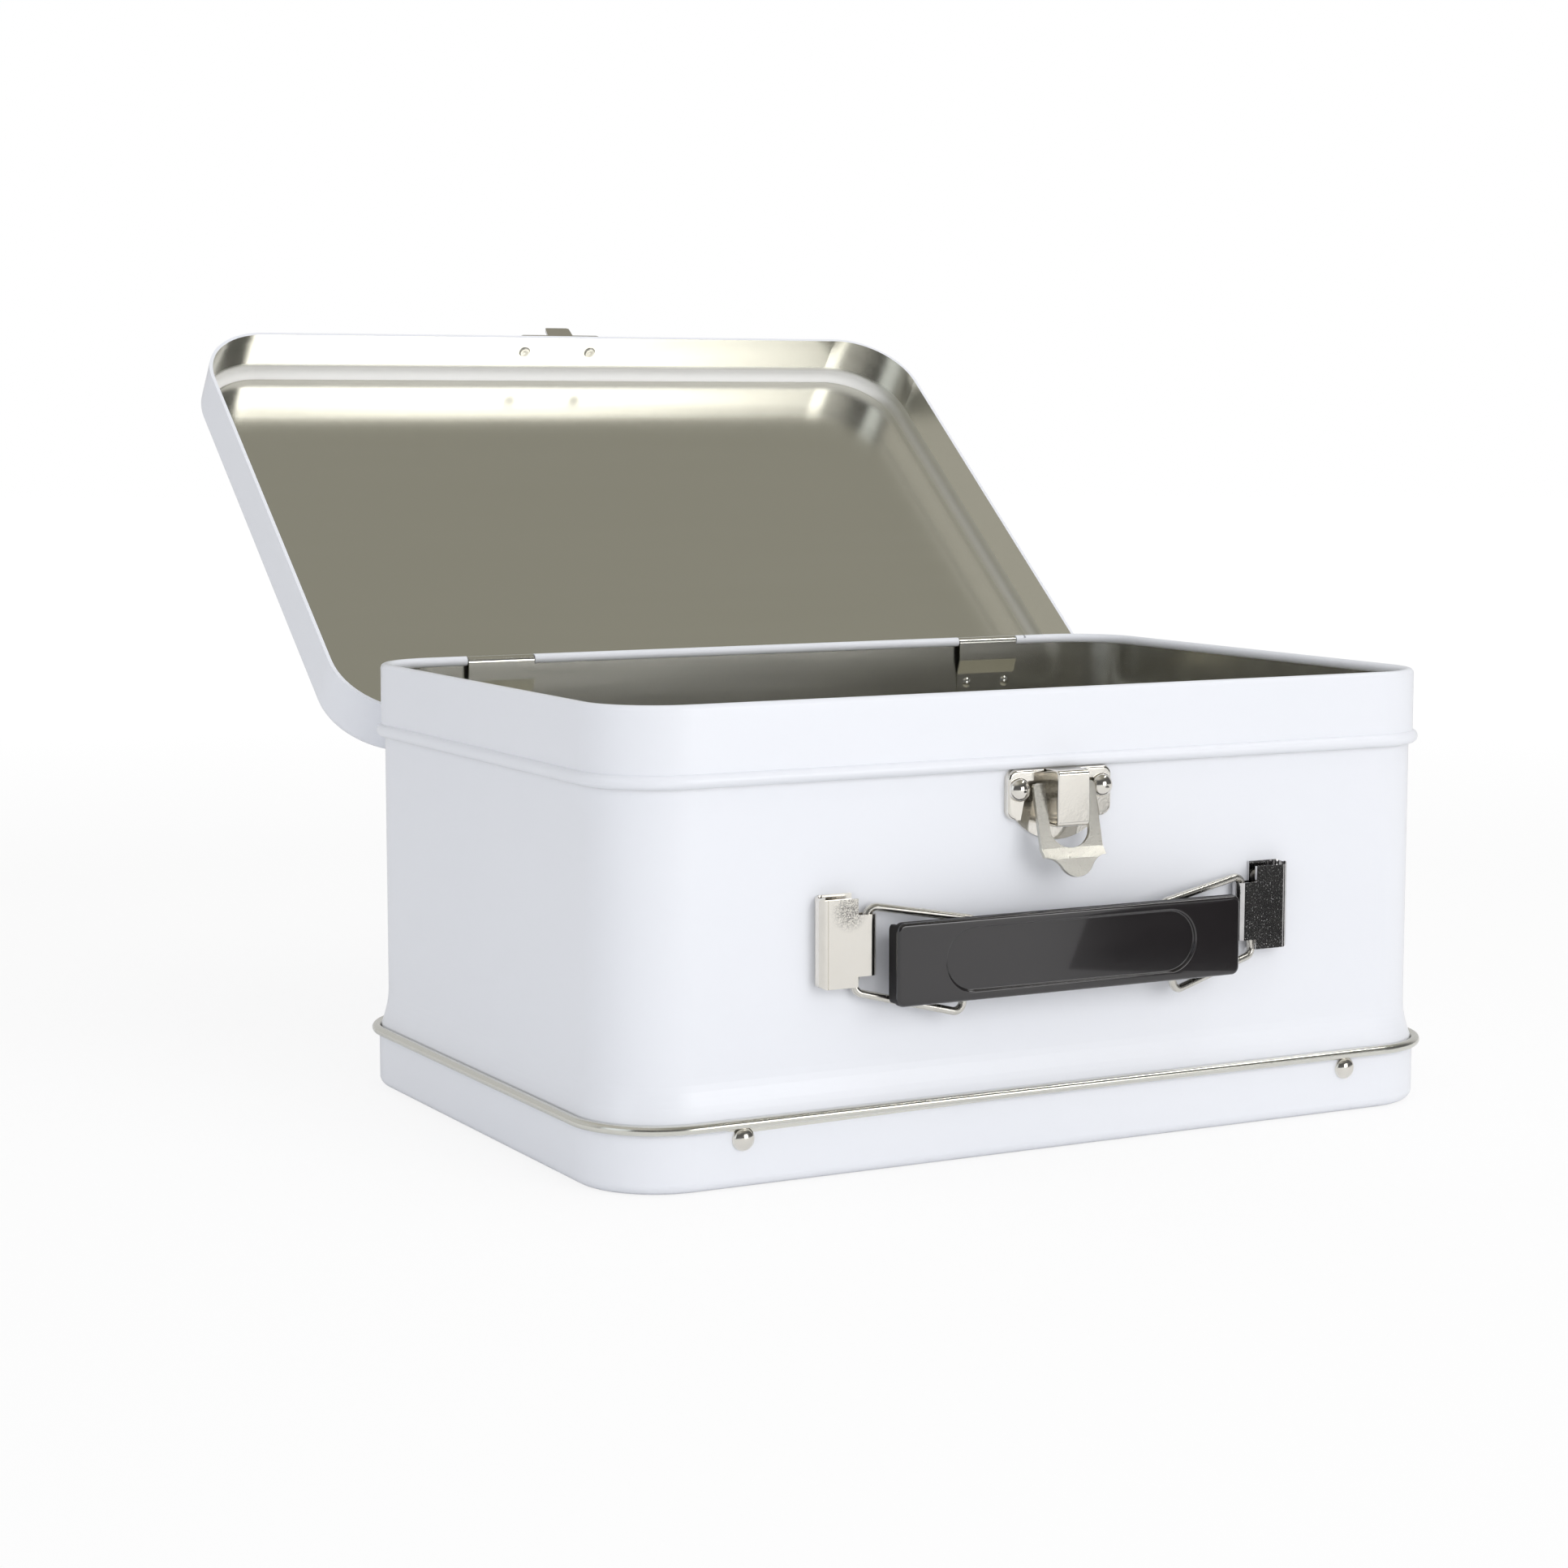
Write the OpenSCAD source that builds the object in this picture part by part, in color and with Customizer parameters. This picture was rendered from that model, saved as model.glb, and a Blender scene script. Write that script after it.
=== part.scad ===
// Metal lunch box: a pressed steel case that lies on its back with the lid open.
// The origin is the middle of the tray's underside. X runs along the latch side,
// Y points to the lid's hinges and Z is up. All sizes are millimetres.

/* [Case] */
// Length outside the tray's walls
box_length = 240; // [190:1:300]
// Depth outside the tray's walls, from the latch side to the hinge side
box_depth = 165; // [130:1:220]
// Height of the body's rolled edge
body_height = 113.3; // [105:0.1:150]
// Corner radius outside the tray's walls
corner_radius = 21; // [15:0.5:30]
// Thickness of the painted steel sheet
sheet = 0.5; // [0.4:0.05:0.6]

/* [Body] */
// How far the lid band stands inside the tray's walls
band_inset = 1.6; // [1.4:0.1:2.2]
// How far the waist stands inside the tray's walls
waist_inset = 2.6; // [2.3:0.1:3.4]
// Diameter of the rolled top edge
roll_d = 2.6; // [2.2:0.1:3.0]
// Drop from the top edge to the middle of the bead
bead_drop = 17.6; // [16:0.1:20]
// Radius of the rolled bead
bead_radius = 1.7; // [1.5:0.1:2]
// How far the bead stands out of the lid band
bead_proud = 1.3; // [1:0.1:1.3]
// Height of the flare above the tray's curl
flare_height = 10; // [6:0.5:16]
// Gap between the body's foot and the tray's wall
foot_gap = 0.1; // [0.1:0.05:0.3]

/* [Tray] */
// Height of the tray's curled edge
tray_height = 16.7; // [15:0.1:22]
// Diameter of the curled edge
curl_d = 2.4; // [2.0:0.1:3.0]
// Outside radius between the tray's floor and walls
floor_radius = 2.5; // [1.5:0.1:3.5]
// Distance between the two tray rivets on a long side
tray_rivet_spacing = 174; // [120:1:180]
// Drop from the top of the curl to the tray rivets
tray_rivet_drop = 4.9; // [4.8:0.1:6.5]
// Head diameter of a tray rivet
tray_rivet_head = 5.2; // [4:0.1:5.2]

/* [Lid] */
// Angle from closed to fully open
lid_open_angle = 141; // [100:1:141]
// Clearance between the lid band and the lid's hem
lid_gap = 1.4; // [1.4:0.1:1.8]
// Clearance between the body's rolled edge and the closed lid's panel
lid_rest_gap = 0.35; // [0.3:0.05:0.6]
// Height of the lid's rim over the middle of the bead
lid_rim_rise = 1.8; // [1.8:0.1:3]
// Height of the folded hem
hem_height = 2.4; // [1.8:0.1:3]
// Outside radius between the lid's panel and skirt
lid_radius = 3; // [2:0.1:4]

/* [Lid hinges] */
// Distance between the middles of the two hinges
hinge_spacing = 156; // [100:1:160]
// Width of a hinge strap and of its tab on the lid
strap_width = 19.4; // [16:0.1:24]
// Width of the strap's eye, in the middle of the hinge
strap_eye_width = 8; // [5:0.1:10]
// Thickness of the tin strap and tab
strap_sheet = 0.5; // [0.4:0.05:0.5]
// Diameter of the hinge pin
pin_d = 1.5; // [1.2:0.1:1.6]
// Running clearance round a pin, on the radius
pin_gap = 0.05; // [0.03:0.01:0.09]
// Height of the hinge pin over the lid's rim
pin_rise = 0.8; // [0.8:0.1:1.2]
// Side clearance between hinge eyes and of the notches that take them
hinge_gap = 0.3; // [0.3:0.05:0.5]
// Height of the strap's foot inside the body
strap_foot = 10; // [8:0.5:12]
// Height of the tab on the lid's skirt over the pin
tab_height = 11; // [9:0.5:13]

/* [Latch] */
// Width of the latch plate
plate_width = 29.6; // [28:0.1:36]
// Height of the latch plate's ears
plate_height = 12.2; // [11:0.1:14]
// Radius of the rounded lower edge of the latch plate
plate_round = 16; // [15:0.5:18]
// Thickness of the nickel-plated fittings
plate_sheet = 0.8; // [0.6:0.05:1]
// How far the ears stand out of the plate's back
ear_height = 2; // [1.6:0.1:2.2]
// Width of the tongue that traps the hasp
tongue_width = 8.9; // [7:0.1:9]
// How far the tongue stands out of the plate's back
tongue_reach = 8; // [7.6:0.1:9]
// Height of the tongue
tongue_height = 13.8; // [13:0.1:15]
// Width of the hasp
hasp_width = 17.5; // [17:0.1:18.5]
// Thickness of the hasp
hasp_sheet = 1; // [0.8:0.1:1.1]
// Height of the hasp's pivot bar
hasp_bar = 3.8; // [3:0.1:4]
// Drop from the latch plate's top edge to the middle of the pivot bar
hasp_drop = 5.3; // [5:0.1:5.6]
// Side clearance of the tongue and the catch in the hasp's window
hasp_gap = 0.35; // [0.3:0.05:0.6]
// Distance from the pivot bar's middle to the end of the window
hasp_reach = 14.2; // [14:0.1:15]
// Angle of the hanging hasp, out from the wall
hasp_hang = 15; // [8:1:20]
// Distance between the latch plate's rivets
latch_rivet_spacing = 23.6; // [23.4:0.1:25]
// Head diameter of a latch rivet
latch_rivet_head = 5.2; // [4.4:0.1:5.3]

/* [Lid catch] */
// Width of the catch's plate
catch_width = 28.8; // [27.6:0.1:34]
// Height of the catch's plate
catch_height = 10.4; // [9:0.1:12]
// How far the hump stands out of the catch's plate
hump_proud = 4.8; // [4:0.1:4.9]
// Height of the hump
hump_height = 3.7; // [3.2:0.1:3.8]
// Distance between the catch's rivets
catch_rivet_spacing = 22.6; // [22.4:0.1:24]

/* [Handle] */
// Distance between the outer ends of the two brackets
bracket_span = 135.6; // [130:1:150]
// Width of a bracket, along the box
bracket_width = 16.1; // [15:0.1:18]
// Length of a bracket's tongue past its shoulders
bracket_neck = 5.6; // [5:0.1:6]
// Height of a bracket
bracket_height = 22; // [20:0.1:22.2]
// Height of a bracket's tongue
bracket_tongue = 14.6; // [12:0.1:15]
// Drop of the loose links below the brackets' middle
link_drop = 2.3; // [1.9:0.1:2.6]
// How far a bracket stands off the wall
bracket_depth = 4.2; // [4.2:0.1:5]
// Height of the brackets' middle over the base
handle_z = 56.2; // [50:0.1:65]
// Wire diameter of the links
wire_d = 2; // [1.6:0.1:2]
// Distance between the two legs of a link
link_reach = 28; // [26:0.1:30]
// Distance between the link's leg centres and the bracket's outer end
link_inset = 12.2; // [11.6:0.1:12.4]
// Height of the link's leg in the bracket
link_outer_leg = 20.6; // [20.4:0.1:22]
// Height of the link's leg in the grip
link_inner_leg = 22.6; // [22:0.1:24]
// How far the links and grip sag at the inner end, as an angle
link_sag = 11.5; // [8:0.5:13]
// Length of the grip
grip_length = 98; // [92:1:98]
// Height of the grip
grip_height = 20; // [18:0.1:22]
// Depth of the grip's front shell
grip_shell = 4.4; // [4:0.1:5]
// Thickness of the grip's walls
grip_wall = 1.5; // [1.2:0.1:1.7]
// Distance from the case's wall to the grip's front
grip_stand = 10.6; // [10.5:0.1:12]
// How far the loose grip hangs below the brackets' middle
grip_drop = 5.6; // [4.8:0.1:6.4]
// How far the loose grip lies to the left of the middle
grip_shift = 1.2; // [0:0.1:1.5]
// Depth of the finger recess
recess_depth = 0.8; // [0.4:0.1:1]
// Distance between the rivets of one bracket
bracket_rivet_spacing = 12; // [10:0.1:14]

/* [Hidden] */
$fn = 48;
left = -1;
right = 1;
front = -1;
rear = 1;

// Fits that all the fittings share
seat_gap = 0.02;      // between a fitting and the face that it is riveted to
shank_gap = 0.05;     // round a rivet's shank, on the radius
touch = 0.01;         // overlap that joins the pieces of one solid
clearance = 0.3;      // between pieces that move past each other
rivet_shank = 2.6;
small_shank = 1.6;

// Offsets from the tray's outline, outwards
foot_u = -sheet - foot_gap;
waist_u = -waist_inset;
band_u = -band_inset;
hem_u = band_u + lid_gap;
skirt_u = hem_u + sheet;
lid_u = skirt_u + sheet;

// Heights
foot_z = floor_radius;
curl_base = tray_height - curl_d;
bead_z = body_height - bead_drop;
rim_z = bead_z + lid_rim_rise;
lid_top = body_height + lid_rest_gap + sheet;
pin_z = rim_z + pin_rise;
tray_rivet_z = tray_height - tray_rivet_drop;

// Faces of the case
half_length = box_length / 2;
half_depth = box_depth / 2;
wall_y = -(half_depth - waist_inset);          // outside of the latch-side wall
band_y = half_depth - band_inset;              // outside of the hinge-side band
skirt_y = -(half_depth + lid_u);               // outside of the closed lid's front skirt

// Hinge
eye_r = pin_d / 2 + pin_gap + strap_sheet / 2; // middle line of an eye
eye_out = eye_r + strap_sheet / 2;
pin_y = half_depth + lid_u + seat_gap + strap_sheet / 2 - eye_r;
strap_y = pin_y - eye_r;                       // middle of the strap's outer leg
roll_inner_y = band_y - roll_d;
strap_inner_y = roll_inner_y + strap_sheet / 2;
crown_r = (strap_y - strap_inner_y) / 2;
crown_y = (strap_y + strap_inner_y) / 2;
crown_z = body_height - crown_r - strap_sheet / 2;
notch_z = body_height - roll_d;
strap_leg_y = band_y - sheet - seat_gap - strap_sheet / 2;
strap_foot_z = rim_z - 1;
strap_rivet_z = strap_foot_z + strap_foot / 3;
strap_rivet_x = strap_width / 3;
tab_y = half_depth + lid_u + seat_gap;
tab_rivet_z = pin_z + tab_height * 0.68;
tab_rivet_x = strap_width / 3.4;

// Latch
plate_top = bead_z - bead_radius;
plate_back = wall_y - seat_gap;
plate_face = plate_back - plate_sheet;
ear_face = plate_back - ear_height;
plate_low = plate_top - plate_height;
plate_tip = plate_top - plate_height - 5.4;
hasp_y = plate_back - plate_sheet - hasp_bar / 2 - clearance * 2;
hasp_z = plate_top - hasp_drop;
window_half = tongue_width / 2 + hasp_gap;
recess_half = hasp_width / 2 + clearance * 2;
latch_rivet_z = plate_low + plate_height * 0.6;
ear_flare = 3.2;            // widening of the recess between the ears, towards the foot
hasp_joggle = 25;           // further lean of the joggled band
joggle_length = 3.2;
tab_length = 4.4;

// Lid catch
catch_low = rim_z + clearance;
hump_width = tongue_width - clearance;
catch_rivet_z = catch_low + catch_height * 0.55;
catch_rivet_head = 4;

// Handle
bracket_out = bracket_span / 2;
bracket_back = wall_y - seat_gap;
bracket_front = bracket_back - bracket_depth;
bracket_mid_y = bracket_back - bracket_depth / 2;
bracket_in = bracket_out - bracket_width;
shoulder_x = bracket_in + bracket_neck;
link_x = bracket_out - link_inset;
link_leg_y = bracket_mid_y;
link_z = handle_z - link_drop;
link_gap = 0.7;            // between a link's lying upper wire and the tongue, at the leg
tongue_top = link_z + link_outer_leg / 2 * cos(link_sag) - wire_d / 2 - link_gap;
grip_front = wall_y - grip_stand;
grip_rear = grip_front + grip_shell;
grip_back_sheet = 1.3;
grip_back_gap = 3.9;       // between the front wall and the back plate, for the wire
grip_back_face = grip_front + grip_wall + grip_back_gap;
grip_z = handle_z - grip_drop;
link_inner_y = grip_front + grip_wall + grip_back_gap * 0.61;
link_swing = asin((link_leg_y - link_inner_y) / link_reach);
wire_zone = 21;            // the grip's middle stretch that holds no wire, half length
bracket_rivet_x = bracket_out - 4.6;
bracket_rivet_head = 3.6;
front_drop = 0.9;          // the front plate is this much lower than the back one

// ---------------------------------------------------------------- helpers

// Rounded rectangle by its half sizes
module rounded(hx, hy, r) {
    square([2 * (hx - r), 2 * hy], center = true);
    square([2 * hx, 2 * (hy - r)], center = true);
    for (sx = [-1, 1], sy = [-1, 1]) translate([sx * (hx - r), sy * (hy - r)]) circle(r);
}

// Sweeps a profile round the case. The profile's x is the offset from the tray's
// outline, outwards, and its y is the height.
module round_case() {
    straight_x = half_length - corner_radius;
    straight_y = half_depth - corner_radius;
    for (side = [0, 180]) rotate([0, 0, side]) {
        translate([half_length, 0, 0]) rotate([90, 0, 0])
            linear_extrude(2 * straight_y, center = true) children();
        rotate([0, 0, 90]) translate([half_depth, 0, 0]) rotate([90, 0, 0])
            linear_extrude(2 * straight_x, center = true) children();
    }
    for (sx = [0, 1], sy = [0, 1]) mirror([sx, 0, 0]) mirror([0, sy, 0])
        translate([straight_x, straight_y, 0])
            rotate_extrude(angle = 90) translate([corner_radius, 0]) children();
}

// A flat panel that closes the case at an offset from the outline
module panel(offset_u, thickness) {
    linear_extrude(thickness)
        rounded(half_length + offset_u, half_depth + offset_u, corner_radius + offset_u);
}

// A quarter of a ring, in the corner between a panel and a wall
module quarter_ring(r, quadrant) {
    intersection() {
        difference() { circle(r); circle(r - sheet); }
        rotate(quadrant) square(r);
    }
}

// Three quarters of a rolled edge, open at one quadrant
module rolled(d, quadrant) {
    difference() {
        circle(d / 2);
        circle(d / 2 - sheet);
        rotate(quadrant) square(d);
    }
}

// Rivet along Z: the dome stands on z = 0, the shank and clinched tail lie below
module rivet(head_d, head_h, shank_d, grip, tail_d, tail_h) {
    dome_r = (head_d * head_d / 4 + head_h * head_h) / (2 * head_h);
    intersection() {
        translate([0, 0, head_h - dome_r]) sphere(dome_r);
        cylinder(h = head_h, d = head_d);
    }
    translate([0, 0, -grip - tail_h]) cylinder(h = grip + tail_h + touch, d = shank_d);
    translate([0, 0, -grip - tail_h]) cylinder(h = tail_h, d = tail_d);
}

// Turns a Z fitting so that it points out of the latch side or the hinge side
module on_side(side, x, y, z) {
    translate([x, y, z]) rotate([side == front ? 90 : -90, 0, 0]) children();
}

// Hole for a rivet along Y
module rivet_hole(x, y, z, shank_d, length) {
    translate([x, y, z]) rotate([90, 0, 0])
        cylinder(h = length, d = shank_d + 2 * shank_gap, center = true);
}

// Lays a section drawn in Y and Z along X, centred
module along_x(width) {
    rotate([90, 0, 90]) linear_extrude(width, center = true) children();
}

// Swings the closed lid's pieces open about the hinge pins
module opened() {
    translate([0, pin_y, pin_z]) rotate([-lid_open_angle, 0, 0])
        translate([0, -pin_y, -pin_z]) children();
}

// ---------------------------------------------------------------- case

// Offset of the flared wall's outer face at a height: it widens towards the tray
function flare_u(z) =
    waist_u + (foot_u - waist_u) * pow((tray_height + flare_height - z) / flare_height, 2);

flare_steps = 6;
wall_points = concat(
    [[foot_u, foot_z]],
    [for (i = [0 : flare_steps]) let (z = tray_height + flare_height * i / flare_steps)
        [flare_u(z), z]],
    [[waist_u, bead_z]]
);

// The sheet's section: foot, flare and waist, the bead, and the band with its roll
module body_profile() {
    bead_u = band_u + bead_proud - bead_radius;
    inner_points = [for (i = [len(wall_points) - 1 : -1 : 0]) wall_points[i] - [sheet, 0]];
    difference() {
        union() {
            polygon(concat(wall_points, inner_points));
            translate([band_u - sheet, bead_z])
                square([sheet, body_height - roll_d / 2 - bead_z]);
            intersection() {
                translate([bead_u, bead_z]) circle(bead_radius);
                union() {
                    translate([waist_u - sheet, bead_z - 2 * bead_radius])
                        square([4 * bead_radius, 2 * bead_radius]);
                    translate([band_u - sheet, bead_z]) square([4 * bead_radius, 2 * bead_radius]);
                }
            }
        }
        translate([bead_u, bead_z]) circle(bead_radius - sheet);
    }
    translate([band_u - roll_d / 2, body_height - roll_d / 2]) rolled(roll_d, -90);
}

// The seam where the body's strip is lapped, at the right end of the hinge side
seam_x = half_length - corner_radius - 8;

module body_band() {
    color([0.94, 0.95, 0.97])
    difference() {
        round_case() body_profile();
        for (side = [left, right])
            translate([side * hinge_spacing / 2, band_y - roll_d / 2, notch_z + roll_d])
                cube([strap_width + 2 * hinge_gap, 2 * roll_d, 2 * roll_d], center = true);
        for (side = [left, right], x = [-strap_rivet_x, strap_rivet_x])
            rivet_hole(side * hinge_spacing / 2 + x, band_y, strap_rivet_z, small_shank, 4);
        for (x = [left, right], y = [front, rear])
            rivet_hole(x * tray_rivet_spacing / 2, y * (half_depth - sheet), tray_rivet_z,
                rivet_shank, 4);
        for (x = [left, right])
            rivet_hole(x * latch_rivet_spacing / 2, wall_y, latch_rivet_z, rivet_shank, 4);
        for (x = [left, right], z = [-1, 1])
            rivet_hole(x * bracket_rivet_x, wall_y,
                handle_z + z * bracket_rivet_spacing / 2, small_shank, 4);
        translate([seam_x, band_y - roll_d, body_height]) cube([0.6, 2 * roll_d, 1.6], center = true);
    }
}

module tray_profile() {
    translate([-floor_radius, floor_radius]) quarter_ring(floor_radius, -90);
    translate([-sheet, floor_radius]) square([sheet, curl_base - floor_radius + curl_d / 2]);
    translate([curl_d / 2 - sheet, tray_height - curl_d / 2]) rolled(curl_d, 180);
}

module bottom_tray() {
    color([0.94, 0.95, 0.97])
    difference() {
        union() {
            round_case() tray_profile();
            panel(-floor_radius, sheet);
        }
        for (x = [left, right], y = [front, rear])
            rivet_hole(x * tray_rivet_spacing / 2, y * half_depth, tray_rivet_z, rivet_shank, 4);
    }
}

module tray_rivets() {
    color([0.72, 0.71, 0.68])
    for (x = [left, right], y = [front, rear])
        on_side(y, x * tray_rivet_spacing / 2, y * (half_depth + seat_gap), tray_rivet_z)
            rivet(tray_rivet_head, 1.5, rivet_shank, 2 * sheet + foot_gap + 2 * seat_gap, 4.2, 0.7);
}

// ---------------------------------------------------------------- hinges

// The strap in section: foot on the wall's inside, S-bend, crown over the notch,
// outer leg and eye
module strap_section() {
    half = strap_sheet / 2;
    bend_low = strap_foot_z + strap_foot * 0.6;
    bend_high = strap_foot_z + strap_foot;
    polygon([
        [strap_leg_y + half, strap_foot_z], [strap_leg_y + half, bend_low],
        [strap_inner_y + half, bend_high], [strap_inner_y + half, crown_z],
        [strap_inner_y - half, crown_z], [strap_inner_y - half, bend_high],
        [strap_leg_y - half, bend_low], [strap_leg_y - half, strap_foot_z]
    ]);
    intersection() {
        translate([crown_y, crown_z]) difference() {
            circle(crown_r + half);
            circle(crown_r - half);
        }
        translate([crown_y - 2 * roll_d, crown_z]) square(4 * roll_d);
    }
    translate([strap_y - half, pin_z]) square([strap_sheet, crown_z - pin_z + touch]);
}

module eye_ring() {
    difference() {
        circle(eye_out);
        circle(pin_d / 2 + pin_gap);
    }
}

module hinge_strap(side) {
    eye_clear = strap_eye_width / 2;
    color([0.74, 0.74, 0.70])
    translate([side * hinge_spacing / 2, 0, 0]) difference() {
        union() {
            along_x(strap_width) strap_section();
            along_x(strap_eye_width) translate([pin_y, pin_z]) eye_ring();
        }
        for (end = [left, right])
            translate([end * (strap_width / 2 + eye_clear), pin_y, pin_z])
                cube([strap_width, 2 * eye_out + 2 * touch, 2 * eye_out + 2 * hinge_gap], center = true);
        for (x = [-strap_rivet_x, strap_rivet_x])
            rivet_hole(x, strap_leg_y, strap_rivet_z, small_shank, 1.5);
        along_x(strap_eye_width + 1) translate([pin_y, pin_z]) circle(pin_d / 2 + pin_gap);
    }
}

module strap_rivets() {
    color([0.78, 0.77, 0.74])
    for (side = [left, right], x = [-strap_rivet_x, strap_rivet_x])
        on_side(front, side * hinge_spacing / 2 + x, strap_leg_y - strap_sheet / 2 - seat_gap,
            strap_rivet_z)
            rivet(3, 0.6, small_shank, strap_sheet + sheet + seat_gap, small_shank, 0.1);
}

module hinge_pin(side) {
    color([0.75, 0.75, 0.75])
    translate([side * hinge_spacing / 2, pin_y, pin_z]) rotate([0, 90, 0])
        cylinder(h = strap_width, d = pin_d, center = true);
}

// ---------------------------------------------------------------- latch

module plate_outline() {
    translate([0, plate_top - plate_height / 2]) rounded(plate_width / 2, plate_height / 2, 2.4);
    intersection() {
        translate([0, plate_tip + plate_round]) circle(plate_round);
        translate([-plate_width / 2 + 3.4, plate_tip]) square([plate_width - 6.8, plate_height]);
    }
}

// The stretches of the plate that stand out: the two ears with the rivets
module ear_outline() {
    recess_top = hasp_z + hasp_bar / 2 + 2 * clearance;
    difference() {
        plate_outline();
        polygon([
            [-recess_half, recess_top], [recess_half, recess_top],
            [recess_half + ear_flare, plate_tip], [-recess_half - ear_flare, plate_tip]
        ]);
        translate([-window_half, plate_tip]) square([2 * window_half, plate_height * 2]);
    }
}

module tongue_section() {
    bend = 1.2;
    mid_y = -tongue_reach / 2;
    mid_z = plate_top - tongue_height / 2;
    difference() {
        translate([mid_y, mid_z]) rounded(tongue_reach / 2, tongue_height / 2, bend);
        translate([mid_y, mid_z])
            rounded(tongue_reach / 2 - plate_sheet, tongue_height / 2 - plate_sheet, bend - plate_sheet / 2);
        translate([-tongue_reach / 2 + 1, plate_top - tongue_height - 1])
            square([tongue_reach, 2.4]);
        translate([-plate_sheet, plate_top - tongue_height - 1])
            square([tongue_reach, tongue_height - 1]);
    }
}

module latch_plate() {
    color([0.80, 0.78, 0.72])
    difference() {
        union() {
            translate([0, plate_back, 0]) rotate([90, 0, 0]) linear_extrude(plate_sheet) plate_outline();
            translate([0, plate_back, 0]) rotate([90, 0, 0]) linear_extrude(ear_height) ear_outline();
            translate([0, plate_back, 0]) along_x(tongue_width) tongue_section();
        }
        for (x = [left, right])
            rivet_hole(x * latch_rivet_spacing / 2, plate_back, latch_rivet_z, rivet_shank, 8);
    }
}

module latch_rivets() {
    color([0.82, 0.80, 0.75])
    for (x = [left, right])
        on_side(front, x * latch_rivet_spacing / 2, ear_face - seat_gap, latch_rivet_z)
            rivet(latch_rivet_head, 1.7, rivet_shank, ear_height + sheet + 3 * seat_gap, 4.2, 0.7);
}

// The hasp is drawn upright with its pivot bar at the origin: a bent strip, seen
// from the side, cut to the outline that it has from the front
band_drop = joggle_length * cos(hasp_joggle);

// A strip of sheet along a line of points that bend by small angles, with mitred
// bends. It is drawn in X and Y.
module strip(points, thickness) {
    last = len(points) - 1;
    function across(v) = [-v[1], v[0]] / norm(v);
    function edge(i) = across(points[min(i + 1, last)] - points[min(i, last - 1)]);
    function before(i) = across(points[max(i, 1)] - points[max(i - 1, 0)]);
    function side(i) = let (sum = edge(i) + before(i)) sum * 2 / (sum * sum);
    polygon(concat(
        [for (i = [0 : last]) points[i] + side(i) * thickness / 2],
        [for (i = [last : -1 : 0]) points[i] - side(i) * thickness / 2]
    ));
}

// The window: its foot is round
module hasp_window() {
    top_corner = 1.6;
    foot = window_half - hasp_reach;
    translate([0, foot]) circle(window_half);
    translate([0, (foot - hasp_bar / 2) / 2])
        rounded(window_half, -(foot + hasp_bar / 2) / 2, top_corner);
    translate([-window_half, foot]) square([2 * window_half, 2 * top_corner]);
}

// What is cut off a square corner at the origin to round it: the corner points up
// and to the right
module corner_cut(r) {
    difference() {
        translate([-r, -r]) square(2 * r);
        translate([-r, -r]) circle(r);
    }
}

// The outline: an arm on each side of the window, then a hollow under each
// shoulder that runs into the round tip
module hasp_outline() {
    half = hasp_width / 2;
    top = hasp_bar / 2;
    tip = -hasp_reach - band_drop - tab_length;
    shoulder = -hasp_reach - 2.2;
    tip_r = 5;
    hollow_x = half + 0.05;
    rise = shoulder - tip;
    hollow_r = (hollow_x * hollow_x + rise * rise) / (2 * rise) - tip_r + 0.05;
    neck = tip + tip_r - (tip_r + hollow_r - rise) * tip_r / (tip_r + hollow_r);
    difference() {
        translate([-half, tip]) square([hasp_width, top - tip]);
        hasp_window();
        for (x = [-1, 1]) {
            translate([x * half, top]) scale([x, 1]) corner_cut(1.2);
            translate([x * hollow_x, shoulder - hollow_r]) circle(hollow_r);
        }
        difference() {
            translate([-half - 1, tip - 1]) square([hasp_width + 2, neck - tip + 1]);
            translate([0, tip + tip_r]) circle(tip_r);
        }
    }
}

module latch_hasp() {
    band_out = joggle_length * sin(hasp_joggle);
    color([0.78, 0.76, 0.70])
    translate([0, hasp_y, hasp_z]) rotate([-hasp_hang, 0, 0]) intersection() {
        rotate([90, 0, 0]) linear_extrude(4 * hasp_bar, center = true) hasp_outline();
        along_x(hasp_width + 1) strip([
            [0, hasp_bar / 2], [0, -hasp_reach], [-band_out, -hasp_reach - band_drop],
            [-band_out, -hasp_reach - band_drop - tab_length - 1]
        ], hasp_sheet);
    }
}

// ---------------------------------------------------------------- handle

// Section of a bracket in X and Y: a flat tube that is open above and below
module bracket_section(inner_x) {
    r = bracket_depth / 2;
    mid = (inner_x + bracket_out) / 2;
    half = (bracket_out - inner_x) / 2;
    translate([mid, bracket_mid_y]) difference() {
        rounded(half, r, r - touch);
        rounded(half - plate_sheet, r - plate_sheet, r - plate_sheet - touch);
    }
}

// Face of a bracket past its shoulders, with round outer corners
module bracket_face() {
    half = (bracket_out - shoulder_x) / 2;
    corner_r = 1.6;
    translate([bracket_out - half, 0]) rounded(half, bracket_height / 2, corner_r);
    translate([shoulder_x, -bracket_height / 2]) square([half, bracket_height]);
}

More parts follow.
